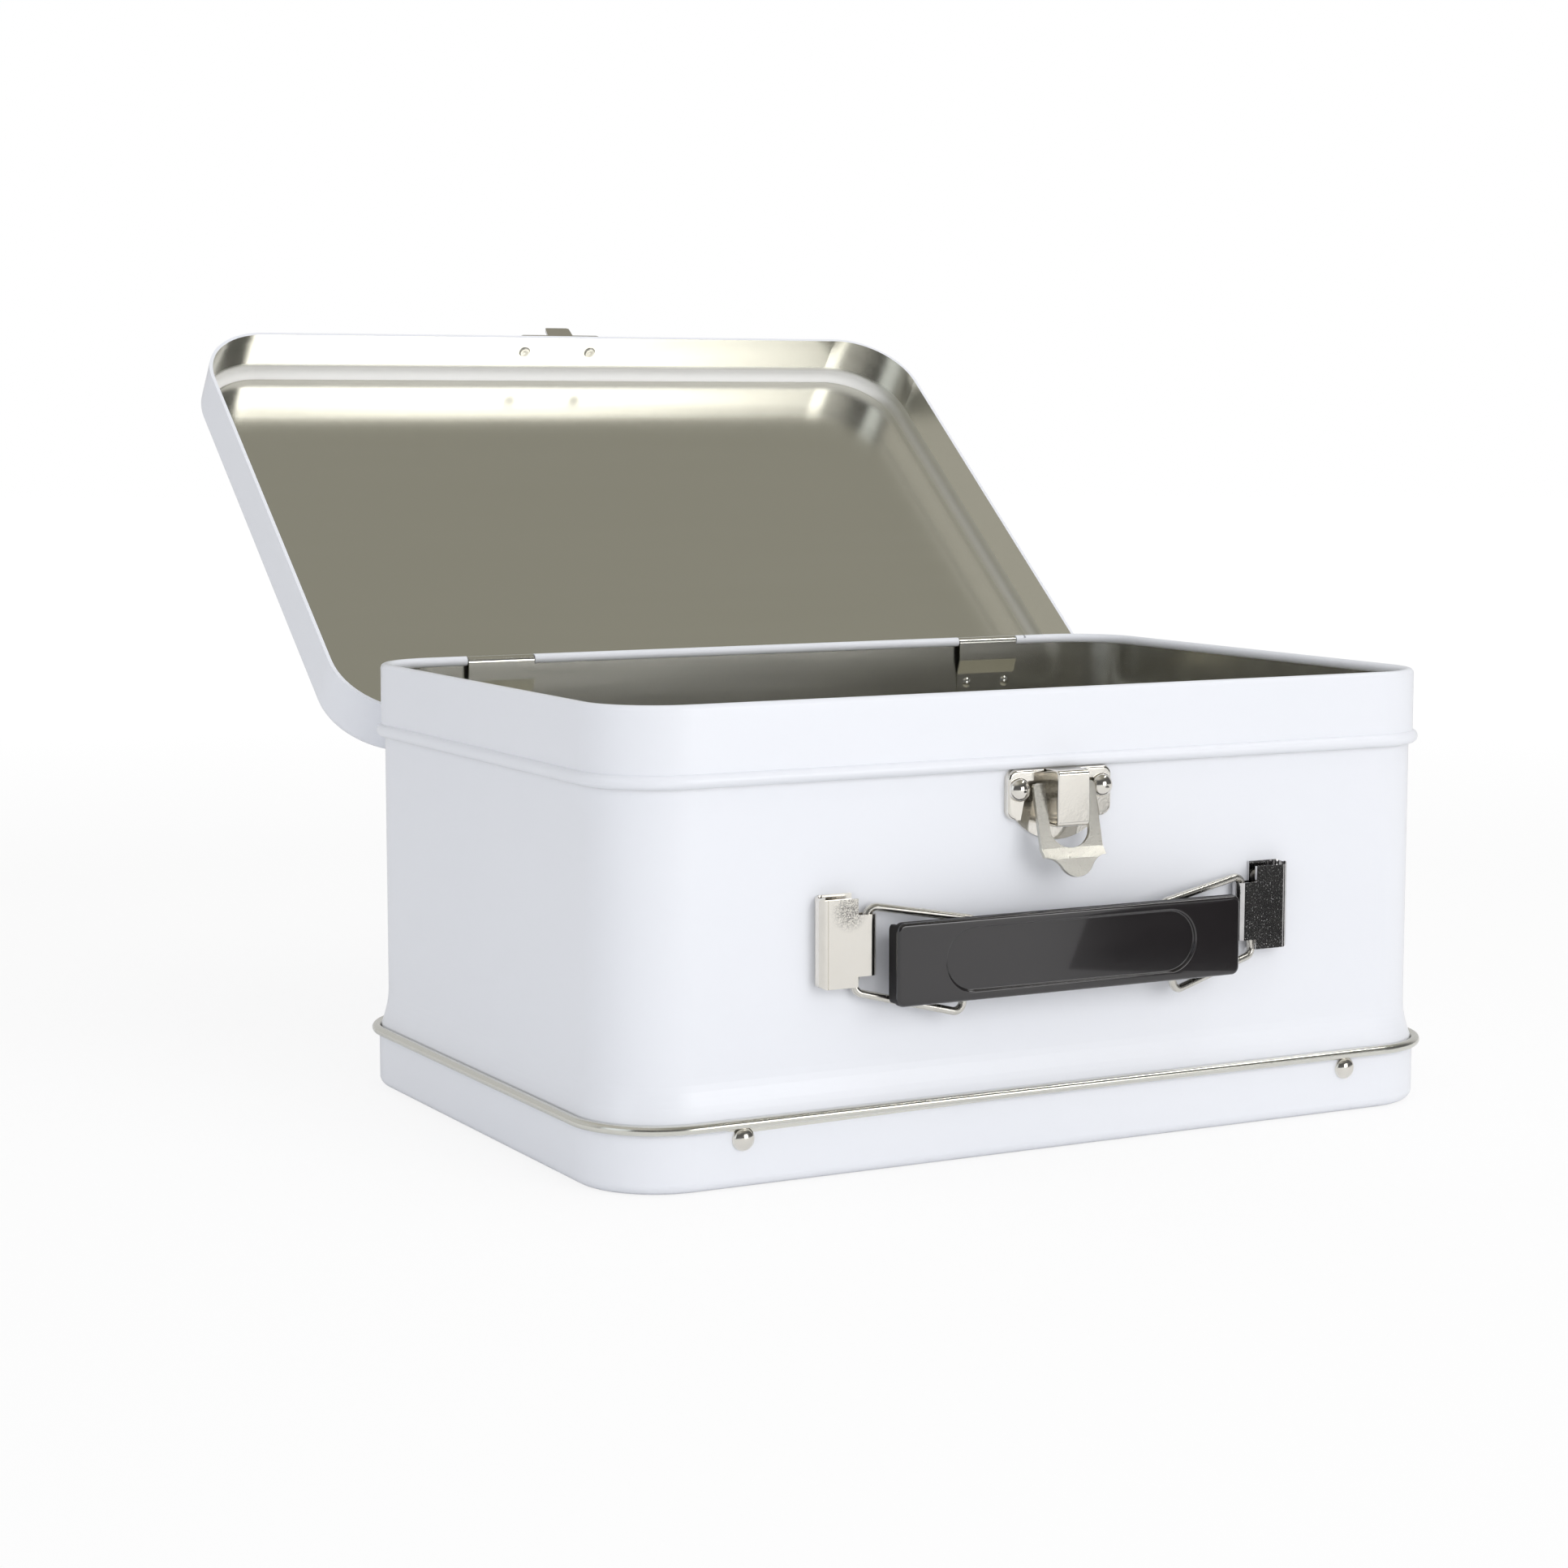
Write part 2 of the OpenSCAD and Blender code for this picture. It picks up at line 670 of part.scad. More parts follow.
module handle_bracket(side) {
    mirror([side == left ? 1 : 0, 0, 0])
    color([0.83, 0.81, 0.76])
    difference() {
        union() {
            intersection() {
                translate([0, 0, handle_z - bracket_height / 2]) linear_extrude(bracket_height)
                    bracket_section(bracket_in);
                translate([0, 0, handle_z]) rotate([90, 0, 0]) linear_extrude(box_depth)
                    bracket_face();
            }
            translate([0, 0, tongue_top - bracket_tongue]) linear_extrude(bracket_tongue)
                bracket_section(bracket_in);
        }
        translate([bracket_in, bracket_front - touch, handle_z + bracket_height / 2 - front_drop])
            cube([bracket_width - plate_sheet * 2, bracket_depth - plate_sheet, 2 * front_drop]);
        for (z = [-1, 1])
            rivet_hole(bracket_rivet_x, bracket_back, handle_z + z * bracket_rivet_spacing / 2,
                small_shank, 3);
    }
}

module bracket_rivets() {
    color([0.78, 0.77, 0.74])
    for (x = [left, right], z = [-1, 1])
        on_side(front, x * bracket_rivet_x, bracket_back - plate_sheet - seat_gap,
            handle_z + z * bracket_rivet_spacing / 2)
            rivet(bracket_rivet_head, 0.8, small_shank, plate_sheet + sheet + 3 * seat_gap, 3.2, 0.6);
}

// A wire between two points
module wire(a, b) {
    leg = b - a;
    translate(a) rotate([0, acos(leg[2] / norm(leg)), atan2(leg[1], leg[0])])
        cylinder(h = norm(leg), d = wire_d);
}

// A closed wire link with its bracket leg on the Z axis and its grip leg on the
// inner side
module link_loop() {
    corners = [
        [0, 0, link_outer_leg / 2], [-link_reach, 0, link_inner_leg / 2],
        [-link_reach, 0, -link_inner_leg / 2], [0, 0, -link_outer_leg / 2]
    ];
    for (i = [0 : 3]) {
        wire(corners[i], corners[(i + 1) % 4]);
        translate(corners[i]) sphere(d = wire_d);
    }
}

module handle_link(side) {
    mirror([side == left ? 1 : 0, 0, 0])
    color([0.80, 0.79, 0.76])
    translate([link_x, link_leg_y, link_z])
        rotate([0, -link_sag, 0]) rotate([0, 0, link_swing]) link_loop();
}

module grip_outline(inset) {
    rounded(grip_length / 2 - inset, grip_height / 2 - inset, 2);
}

module at_grip() {
    translate([-grip_shift, 0, grip_z]) rotate([90, 0, 0]) children();
}

// Front shell: a shallow tray whose walls are cut back where the wires pass
module handle_grip() {
    notch_length = grip_length / 2 - grip_wall - wire_zone;
    notch_depth = grip_shell - grip_wall;
    color([0.12, 0.11, 0.12])
    difference() {
        at_grip() translate([0, 0, -grip_rear]) linear_extrude(grip_shell) grip_outline(0);
        at_grip() translate([0, 0, -grip_rear - touch])
            linear_extrude(grip_shell - grip_wall + touch) grip_outline(grip_wall);
        at_grip() translate([0, 0, -grip_front - recess_depth]) linear_extrude(recess_depth + 1)
            rounded(35.5, 7.6, 7.5);
        for (side = [left, right], edge = [-1, 1])
            at_grip() translate([side * (wire_zone + notch_length / 2), edge * grip_height / 2,
                -grip_rear + notch_depth / 2])
                cube([notch_length, 4 * grip_wall, notch_depth + touch], center = true);
    }
}

// Back plate: it closes the shell behind the wires and stands on two long ribs
module handle_grip_back() {
    rib_height = grip_back_gap - seat_gap;
    back_inset = 2.2;
    end_x = grip_length / 2 - grip_wall - 0.1;
    color([0.10, 0.10, 0.11])
    at_grip() translate([0, 0, -grip_back_face - grip_back_sheet]) {
        linear_extrude(grip_back_sheet) rounded(end_x, grip_height / 2 - back_inset, 1.5);
        for (z = [-1, 1]) translate([0, z * 4, grip_back_sheet + rib_height / 2])
            cube([2 * wire_zone - 6, 1.6, rib_height + touch], center = true);
        for (side = [left, right])
            translate([side * (end_x - grip_wall / 2), 0, grip_back_sheet + rib_height / 2])
                cube([grip_wall, grip_height - 2 * back_inset - 3, rib_height + touch], center = true);
    }
}

// ---------------------------------------------------------------- lid

module lid_profile() {
    translate([lid_u - lid_radius, lid_top - lid_radius]) quarter_ring(lid_radius, 0);
    translate([skirt_u, rim_z]) square([sheet, lid_top - lid_radius - rim_z]);
    translate([hem_u, rim_z]) square([2 * sheet, hem_height]);
}

module lid_shell() {
    notch_width = strap_width + 2 * hinge_gap;
    notch_top = pin_z + eye_out + hinge_gap;
    color([0.94, 0.95, 0.97])
    opened() difference() {
        union() {
            round_case() lid_profile();
            translate([0, 0, lid_top - sheet]) panel(lid_u - lid_radius, sheet);
        }
        for (side = [left, right])
            translate([side * hinge_spacing / 2, half_depth, rim_z])
                cube([notch_width, 6 * sheet, 2 * (notch_top - rim_z)], center = true);
        for (side = [left, right], x = [-tab_rivet_x, tab_rivet_x])
            rivet_hole(side * hinge_spacing / 2 + x, half_depth + lid_u, tab_rivet_z, small_shank, 3);
        for (x = [left, right])
            rivet_hole(x * catch_rivet_spacing / 2, skirt_y, catch_rivet_z, small_shank, 3);
    }
}

module lid_tab(side) {
    slot_half = strap_eye_width / 2 + hinge_gap;
    color([0.76, 0.76, 0.73])
    opened() translate([side * hinge_spacing / 2, 0, 0]) difference() {
        union() {
            translate([-strap_width / 2, tab_y, pin_z]) cube([strap_width, strap_sheet, tab_height]);
            along_x(strap_width) translate([pin_y, pin_z]) eye_ring();
        }
        translate([-slot_half, pin_y - 2 * eye_out, pin_z - 2 * eye_out])
            cube([2 * slot_half, 4 * eye_out, 3 * eye_out + hinge_gap]);
        along_x(strap_width + 1) translate([pin_y, pin_z]) circle(pin_d / 2 + pin_gap);
        for (x = [-tab_rivet_x, tab_rivet_x])
            rivet_hole(x, tab_y, tab_rivet_z, small_shank, 3);
    }
}

module lid_tab_rivets() {
    color([0.78, 0.77, 0.74])
    opened() for (side = [left, right], x = [-tab_rivet_x, tab_rivet_x])
        on_side(rear, side * hinge_spacing / 2 + x, tab_y + strap_sheet + seat_gap, tab_rivet_z)
            rivet(3.4, 0.8, small_shank, strap_sheet + sheet + 3 * seat_gap, 2.6, 0.4);
}

// The hump in section: a rounded nose that the hasp's window snaps over
module hump_section() {
    nose = 1.6;
    base = skirt_y - seat_gap - plate_sheet;
    mid_y = base - hump_proud / 2;
    translate([mid_y, catch_low + hump_height / 2])
        rounded(hump_proud / 2, hump_height / 2, nose);
    translate([mid_y, catch_low]) square([hump_proud / 2 + touch, hump_height]);
}

module lid_catch() {
    hump_crown = hump_width / 2 - touch;
    color([0.80, 0.78, 0.72])
    opened() difference() {
        union() {
            translate([0, skirt_y - seat_gap, catch_low + catch_height / 2]) rotate([90, 0, 0])
                linear_extrude(plate_sheet) rounded(catch_width / 2, catch_height / 2, 2);
            intersection() {
                along_x(hump_width) hump_section();
                translate([0, 0, catch_low]) rotate([90, 0, 0])
                    linear_extrude(2 * half_depth)
                        translate([0, hump_height / 2 - hump_crown])
                            rounded(hump_width / 2, hump_height / 2 + hump_crown, hump_crown);
            }
        }
        for (x = [left, right])
            rivet_hole(x * catch_rivet_spacing / 2, skirt_y, catch_rivet_z, small_shank, 4);
    }
}

module lid_catch_rivets() {
    color([0.82, 0.80, 0.75])
    opened() for (x = [left, right])
        on_side(front, x * catch_rivet_spacing / 2, skirt_y - plate_sheet - 2 * seat_gap, catch_rivet_z)
            rivet(catch_rivet_head, 1.1, small_shank, plate_sheet + sheet + 3 * seat_gap, 3, 0.5);
}

// ---------------------------------------------------------------- nodes

body_band();
bottom_tray();
tray_rivets();
hinge_strap(left);  // hinge_strap_left
hinge_strap(right);  // hinge_strap_right
strap_rivets();
hinge_pin(left);  // hinge_pin_left
hinge_pin(right);  // hinge_pin_right
latch_plate();
latch_rivets();
latch_hasp();
handle_bracket(left);  // handle_bracket_left
handle_bracket(right);  // handle_bracket_right
bracket_rivets();
handle_link(left);  // handle_link_left
handle_link(right);  // handle_link_right
handle_grip();
handle_grip_back();
lid_shell();
lid_tab(left);  // lid_tab_left
lid_tab(right);  // lid_tab_right
lid_tab_rivets();
lid_catch();
lid_catch_rivets();
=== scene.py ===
# %% [markdown]
# # Metal lunch box
# A white enamelled tin box that stands open. Its steel body, tray and lid are
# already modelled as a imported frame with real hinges, and this script dresses
# that frame: it gives every sheet its finish, models the bent wires and the soft
# pressed edges that a plain solid lacks, and sets up a plain studio. Everything
# is in metres and stands where the frame says, so nothing has to be fitted. The
# lid's hinge line and its angle are noted here, because several steps look at the
# lid as it lies when it is shut.

# %% Load the frame
import math

import bmesh
import bpy
from mathutils import Matrix, Vector


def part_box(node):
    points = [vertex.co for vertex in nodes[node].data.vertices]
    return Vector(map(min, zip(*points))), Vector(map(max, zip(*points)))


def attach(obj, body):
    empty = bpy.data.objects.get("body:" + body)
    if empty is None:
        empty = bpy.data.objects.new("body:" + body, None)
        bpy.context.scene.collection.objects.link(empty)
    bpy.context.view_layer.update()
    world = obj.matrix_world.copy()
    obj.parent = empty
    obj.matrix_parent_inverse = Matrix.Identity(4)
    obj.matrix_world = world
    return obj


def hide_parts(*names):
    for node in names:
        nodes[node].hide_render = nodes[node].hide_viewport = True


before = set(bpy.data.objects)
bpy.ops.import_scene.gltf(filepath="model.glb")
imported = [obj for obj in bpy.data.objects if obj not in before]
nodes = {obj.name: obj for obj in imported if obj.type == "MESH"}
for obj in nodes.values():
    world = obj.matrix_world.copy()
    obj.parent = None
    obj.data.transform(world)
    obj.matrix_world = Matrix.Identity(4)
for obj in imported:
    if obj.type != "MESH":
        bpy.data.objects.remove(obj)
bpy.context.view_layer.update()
mm = 0.001
hinge = Vector((0, 0.08252, 0.0983))
open_angle = math.radians(141)
to_closed = Matrix.Rotation(open_angle, 4, "X")
to_open = to_closed.inverted()

# %% [markdown]
# ## Camera
# A long lens looks from the front left and a little above the rim. The camera
# could be aimed with a constraint, but a turn and a dip say exactly where it
# looks, so its matrix is built from them.

# %% Camera
camera_data = bpy.data.cameras.new("camera")
camera_data.sensor_width = 36
camera_data.lens = 74.18
camera = bpy.data.objects.new("camera", camera_data)
bpy.context.scene.collection.objects.link(camera)
bpy.context.scene.camera = camera
camera_spot = (-0.4246, -0.7363, 0.1797)
turn, dip = math.radians(-28.05), math.radians(6.587)
right = Vector((math.cos(turn), math.sin(turn), 0))
straight = Vector((-math.sin(turn), math.cos(turn), 0))
ahead = straight * math.cos(dip) - Vector((0, 0, math.sin(dip)))
above = right.cross(ahead)
facing = Matrix((right, above, -ahead)).transposed().to_4x4()
camera.matrix_world = Matrix.Translation(camera_spot) @ facing
print("camera at", camera_spot, "lens", camera_data.lens)

# %% [markdown]
# ## Node helpers
# Every finish below is a small tree of nodes. Adding a node and its links takes
# the same few lines each time, so one helper does it. All patterns read Object
# coordinates: they stay on a piece when the lid or the handle moves.

# %% Node helpers
def finish_of(name, color, metallic, roughness):
    """A new material with its shader's plain values set on the shader itself."""
    material = bpy.data.materials.new(name)
    material.use_nodes = True
    shader = material.node_tree.nodes["Principled BSDF"]
    shader.inputs["Base Color"].default_value = (*color, 1)
    shader.inputs["Metallic"].default_value = metallic
    shader.inputs["Roughness"].default_value = roughness
    return material


def node(owner, kind, **inputs):
    """Adds a node to a finish or to the room. A value is set on its socket, and another
    node's socket is linked."""
    tree = owner.node_tree
    new = tree.nodes.new("ShaderNode" + kind)
    for key, value in inputs.items():
        socket = new.inputs[int(key[1:]) if key[0] == "i" and key[1:].isdigit() else key]
        if isinstance(value, bpy.types.NodeSocket):
            tree.links.new(value, socket)
        else:
            socket.default_value = value
    return new


def noise(material, scale, detail=3.0, rough=0.55, stretch=(1, 1, 1)):
    """Noise on Object coordinates, stretched along an axis where the grain runs."""
    where = node(material, "TexCoord").outputs["Object"]
    mapped = node(material, "Mapping", Vector=where, Scale=stretch).outputs["Vector"]
    texture = node(material, "TexNoise", Vector=mapped, Scale=scale, Detail=detail, Roughness=rough)
    return texture.outputs["Fac"]


def spread(material, value, low, high, start=0.3, end=0.7):
    """Maps a noise value from start..end to low..high."""
    ranged = node(material, "MapRange", Value=value)
    for socket, number in zip(("From Min", "From Max", "To Min", "To Max"), (start, end, low, high)):
        ranged.inputs[socket].default_value = number
    return ranged.outputs["Result"]


def product(material, first, second):
    """One value times another."""
    times = node(material, "Math", i0=first, i1=second)
    times.operation = "MULTIPLY"
    return times.outputs[0]


def blend_colors(material, factor, first, second):
    """A colour between two others."""
    mix = material.node_tree.nodes.new("ShaderNodeMix")
    mix.data_type = "RGBA"
    material.node_tree.links.new(factor, mix.inputs["Factor"])
    for number, color in ((6, first), (7, second)):
        if isinstance(color, bpy.types.NodeSocket):
            material.node_tree.links.new(color, mix.inputs[number])
        else:
            mix.inputs[number].default_value = (*color, 1)
    return mix.outputs[2]


def feed(material, socket, value):
    """Links a value to one of the shader's sockets."""
    shader = material.node_tree.nodes["Principled BSDF"]
    material.node_tree.links.new(value, shader.inputs[socket])


def relief(material, height, strength, distance):
    """Small bumps from a height value."""
    bump = node(material, "Bump", Height=height, Strength=strength, Distance=distance)
    feed(material, "Normal", bump.outputs["Normal"])


print("helpers ready")

# %% [markdown]
# ## White enamel
# The outside is sprayed and baked enamel. It isn't a perfect mirror: it flows
# into a very faint orange peel, and its white drifts a little. Painting that by
# hand would take an image, so two noises do it: a broad one for the colour and a
# fine one for the skin of the paint.

# %% White enamel
enamel = finish_of("white_enamel", (0.84, 0.855, 0.905), 0.0, 0.3)
drift = spread(enamel, noise(enamel, 7, 2), 0, 1)
feed(enamel, "Base Color", blend_colors(enamel, drift, (0.835, 0.852, 0.90), (0.85, 0.864, 0.908)))
feed(enamel, "Roughness", spread(enamel, noise(enamel, 25, 2), 0.27, 0.33, 0.1, 0.9))
relief(enamel, noise(enamel, 700, 2), 0.05, 0.0001)
shine = enamel.node_tree.nodes["Principled BSDF"].inputs
shine["Specular IOR Level"].default_value = 0.35
shine["Coat Weight"].default_value = 0.12
shine["Coat Roughness"].default_value = 0.18
print("enamel nodes:", len(enamel.node_tree.nodes))

# %% [markdown]
# ## Bare tin plate
# Inside, the steel shows its tin: a soft, slightly green grey metal with rolling
# lines that run along the sheet. A stretched noise gives the lines, and a broad
# one gives the cloudy patches where the tin is duller. The press die scuffs the
# lid where its panel folds into the skirt, so the tin is rougher along that fold.
# Along the front of that fold the tin is also painted near white and less metallic:
# a painted highlight that stands for the bright line the fold catches in the light.
# The fold is found by its place with the lid shut.

# %% Bare tin
def tin_finish(name):
    """Bare tin plate, and its roughness for another finish to build on."""
    material = finish_of(name, (0.77, 0.76, 0.70), 1.0, 0.2)
    grain = noise(material, 160, 4, 0.6, stretch=(0.05, 1, 1))
    cloud = spread(material, noise(material, 14, 3), 0, 1)
    feed(material, "Base Color", blend_colors(material, cloud, (0.76, 0.75, 0.69), (0.78, 0.77, 0.71)))
    rough = spread(material, grain, 0.18, 0.23)
    feed(material, "Roughness", rough)
    relief(material, grain, 0.03, 0.0001)
    return material, rough


tin = tin_finish("bare_tin")[0]
lid_tin, lid_rough = tin_finish("lid_tin")
lid_place = node(lid_tin, "TexCoord").outputs["Object"]
shut = node(lid_tin, "VectorRotate", Vector=lid_place, Center=tuple(hinge), Angle=open_angle)
shut.rotation_type = "X_AXIS"
shut_place = node(lid_tin, "SeparateXYZ", i0=shut.outputs[0]).outputs
above_skirt = spread(lid_tin, shut_place["Z"], 0, 1, 0.1085, 0.1105)
below_panel = spread(lid_tin, shut_place["Z"], 1, 0, 0.11352, 0.11363)
fold = product(lid_tin, above_skirt, below_panel)
scuffed = node(lid_tin, "Math", i0=lid_rough, i1=product(lid_tin, fold, 0.42))
feed(lid_tin, "Roughness", scuffed.outputs[0])
# Painted highlight: the front of the fold is made near white and less metallic, standing for the light
# line the fold catches.
pale = product(lid_tin, fold, spread(lid_tin, shut_place["Y"], 1, 0, -0.079, -0.064))
feed(lid_tin, "Metallic", spread(lid_tin, pale, 1, 0.05))
feed(lid_tin, "Base Color", blend_colors(lid_tin, pale, (0.77, 0.76, 0.70), (0.99, 0.985, 0.965)))
print("tin nodes:", len(tin.node_tree.nodes), "with the lid's fold:", len(lid_tin.node_tree.nodes))

# %% [markdown]
# ## Nickel plate
# The latch, the brackets and the rivets are pressed from steel and plated with
# nickel, which is bright and a little warm. It is nearly a mirror with a faint
# haze, so a noise drives its roughness. Use has changed some fittings: the left
# bracket has a rubbed, dotted patch, the right one is darker and pitted, the hasp
# is worn to a fine speckle, and the hinge tabs are satin. One finish for all would
# be shorter, but the fittings would look cast from one piece.

# %% Nickel
def nickel_finish(name):
    """Bright nickel with a faint haze, and its colour for other finishes to build on."""
    material = finish_of(name, (0.80, 0.77, 0.70), 1.0, 0.14)
    haze = noise(material, 260, 3)
    feed(material, "Roughness", spread(material, haze, 0.08, 0.18))
    color = blend_colors(material, spread(material, haze, 0, 1), (0.87, 0.84, 0.78), (0.83, 0.80, 0.74))
    feed(material, "Base Color", color)
    relief(material, noise(material, 1500, 2), 0.08, 0.0001)
    return material, color


nickel = nickel_finish("nickel_plate")[0]

rubbed, plain_color = nickel_finish("nickel_rubbed")
patch_middle = (-0.0596, -0.0841, 0.0634)
patch = node(rubbed, "VectorMath", i0=node(rubbed, "TexCoord").outputs["Object"], i1=patch_middle)
patch.operation = "DISTANCE"
near = spread(rubbed, patch.outputs[1], 1, 0, 0.002, 0.0052)
dots = spread(rubbed, noise(rubbed, 3800, 2, 0.7), 0, 1, 0.44, 0.58)
dotted = product(rubbed, near, dots)
feed(rubbed, "Base Color", blend_colors(rubbed, dotted, plain_color, (0.24, 0.23, 0.22)))

satin = finish_of("nickel_satin", (0.84, 0.82, 0.76), 1.0, 0.34)
fine = noise(satin, 900, 3, 0.6, stretch=(1, 1, 0.2))
feed(satin, "Roughness", spread(satin, fine, 0.26, 0.4))
brushed = spread(satin, fine, 0, 1)
feed(satin, "Base Color", blend_colors(satin, brushed, (0.86, 0.84, 0.78), (0.78, 0.76, 0.70)))

worn = finish_of("nickel_worn", (0.62, 0.60, 0.55), 1.0, 0.35)
speckle = noise(worn, 6500, 2, 0.7)
darker = spread(worn, speckle, 0, 1, 0.35, 0.65)
feed(worn, "Base Color", blend_colors(worn, darker, (0.74, 0.72, 0.66), (0.42, 0.41, 0.37)))
feed(worn, "Roughness", spread(worn, speckle, 0.18, 0.32))
relief(worn, speckle, 0.15, 0.0001)

pitted = finish_of("nickel_pitted", (0.80, 0.78, 0.74), 1.0, 0.06)
pits = noise(pitted, 2400, 3, 0.6)
cloudy = spread(pitted, noise(pitted, 260, 3), 0, 1)
feed(pitted, "Roughness", spread(pitted, pits, 0.03, 0.14))
feed(pitted, "Base Color", blend_colors(pitted, cloudy, (0.74, 0.73, 0.72), (0.60, 0.59, 0.60)))
relief(pitted, spread(pitted, pits, 0, 1, 0.64, 0.8), 0.14, 0.0001)
print("nickel nodes:", len(nickel.node_tree.nodes), "worn:", len(worn.node_tree.nodes))

# %% [markdown]
# ## Drawn wire and black plastic
# The links are drawn steel wire with a faintly uneven shine. The grip is moulded in
# black plastic: its front has a polished skin with faint flow marks, which a clear
# coat over the dark ground gives, and its walls and back plate are left dull.

# %% Wire and plastic
wire = finish_of("steel_wire", (0.66, 0.64, 0.60), 1.0, 0.26)
feed(wire, "Roughness", spread(wire, noise(wire, 600, 2), 0.22, 0.28))
along = spread(wire, noise(wire, 300, 2), 0, 1)
feed(wire, "Base Color", blend_colors(wire, along, (0.74, 0.72, 0.67), (0.66, 0.64, 0.59)))

plastic = finish_of("black_plastic", (0.012, 0.010, 0.011), 0.0, 0.12)
flow = noise(plastic, 40, 3, 0.5, stretch=(0.3, 1, 1))
marked = spread(plastic, flow, 0, 1)
feed(plastic, "Base Color", blend_colors(plastic, marked, (0.010, 0.009, 0.010), (0.018, 0.015, 0.016)))
feed(plastic, "Roughness", spread(plastic, flow, 0.10, 0.18))
relief(plastic, noise(plastic, 700, 2), 0.05, 0.0001)
polish_coat = plastic.node_tree.nodes["Principled BSDF"].inputs
polish_coat["Coat Weight"].default_value = 0.85
polish_coat["Coat Roughness"].default_value = 0.03

dull = finish_of("dull_plastic", (0.010, 0.009, 0.010), 0.0, 0.5)
dull.node_tree.nodes["Principled BSDF"].inputs["Specular IOR Level"].default_value = 0.25
relief(dull, noise(dull, 2500, 2), 0.3, 0.0001)
print("wire and plastic ready")

# %% [markdown]
# ## Which side of a sheet is painted
# The body, the tray and the lid are each one sheet, enamelled outside and bare
# inside. Two materials on one piece are told apart face by face: a face belongs to
# the outside when it looks away from the middle line of the wall's corner arcs.
# The rolled top edge is painted all round, and the tray's curl is bare.

# %% Paint the sheets
half_length, half_depth, corner_arc = 120 * mm, 82.5 * mm, 21 * mm
core_x, core_y = half_length - corner_arc, half_depth - corner_arc
rolled_edge, tray_curl, lid_hem = 110.2 * mm, 14.2 * mm, 97.9 * mm


def outward(center, normal):
    """How much a face looks away from the case's core, seen from above."""
    inner_x, inner_y = max(-core_x, min(core_x, center.x)), max(-core_y, min(core_y, center.y))
    away = Vector((center.x - inner_x, center.y - inner_y, 0))
    return normal.dot(away.normalized()) if away.length > 1e-6 else 0.0


def paint(piece, materials, choose):
    """Gives each face the material whose number choose() returns."""
    piece.data.materials.clear()
    for material in materials:
        piece.data.materials.append(material)
    for face in piece.data.polygons:
        face.material_index = choose(face.center, face.normal)
    counts = [sum(f.material_index == i for f in piece.data.polygons) for i in range(len(materials))]
    print(piece.name, "faces per finish:", counts)


paint(
    nodes["body_band"],
    [enamel, tin],
    lambda c, n: 0 if c.z > rolled_edge or outward(c, n) > 0.02 else 1,
)
paint(
    nodes["bottom_tray"],
    [enamel, tin],
    lambda c, n: 1 if c.z > tray_curl or (outward(c, n) < 0.02 and n.z > -0.3) else 0,
)

# %% [markdown]
# ## The lid
# The lid stands open, so its faces are turned back to the closed place first, by
# the hinge's own angle, and then told apart as on the body.

# %% Paint the lid
def closed(center, normal):
    """A face of the open lid as it stands when the lid is shut."""
    return to_closed @ (center - hinge) + hinge, to_closed @ normal


def lid_side(center, normal):
    """Enamel outside and on the panel's top; bare tin inside."""
    c, n = closed(center, normal)
    return 0 if n.z > 0.3 or outward(c, n) > 0.02 or c.z < lid_hem else 1


paint(nodes["lid_shell"], [enamel, lid_tin], lid_side)
heights = [closed(vert.co, Vector())[0].z / mm for vert in nodes["lid_shell"].data.vertices]
print("the shut lid reaches from", round(min(heights), 1), "to", round(max(heights), 1), "mm")

# %% [markdown]
# ## Softened fittings
# A pressed fitting has no sharp edge: the sheet flows round the die. The packed
# solids have square edges, so a copy of each is merged into one skin, cleared of
# the lines that cross its flat faces, and bevelled by a few tenths of a
# millimetre. The copy stands for its solid, which stays for the motion. A plain
# bevel leaves dark streaks on the flat faces, so the shading is weighted by face
# size afterwards. Edges and faces are told by their middle, in millimetres.

# %% Softened fittings
def only(piece):
    """Makes one piece the only selected and active one."""
    bpy.ops.object.select_all(action="DESELECT")
    piece.select_set(True)
    bpy.context.view_layer.objects.active = piece


def place(item):
    """The middle of a face or an edge, in millimetres."""
    return sum((vert.co for vert in item.verts), Vector()) / len(item.verts) / mm


def polish(piece):
    """Smooth shading that keeps flat faces flat: big faces weigh more than small ones."""
    only(piece)
    bpy.ops.object.shade_smooth_by_angle(angle=math.radians(40))
    bpy.ops.object.modifier_add(type="WEIGHTED_NORMAL")
    piece.modifiers[-1].keep_sharp = True
    bpy.ops.object.modifier_apply(modifier=piece.modifiers[-1].name)


def pick(kind, choose):
    """In edit mode, selects only the faces or edges that choose() wants."""
    bpy.ops.mesh.select_mode(type=kind)
    bpy.ops.mesh.select_all(action="DESELECT")
    mesh = bmesh.from_edit_mesh(bpy.context.object.data)
    chosen = [item for item in (mesh.edges if kind == "EDGE" else mesh.faces) if choose(item)]
    for item in chosen:
        item.select_set(True)
    bmesh.update_edit_mesh(bpy.context.object.data)
    return len(chosen)


def bent(edge, degrees):
    """True where two faces meet at more than an angle."""
    return len(edge.link_faces) == 2 and edge.calc_face_angle() > math.radians(degrees)


def soften(width, choose=lambda p: True, sharp=35, segments=4, clamp=True):
    """In edit mode, rounds the sharp edges whose middle is chosen."""
    count = pick("EDGE", lambda e: bent(e, sharp) and choose(place(e)))
    bpy.ops.mesh.bevel(offset=width * mm, segments=segments, clamp_overlap=clamp, loop_slide=False)
    print(bpy.context.object.name, "edges rounded:", count, "at", width, "mm")


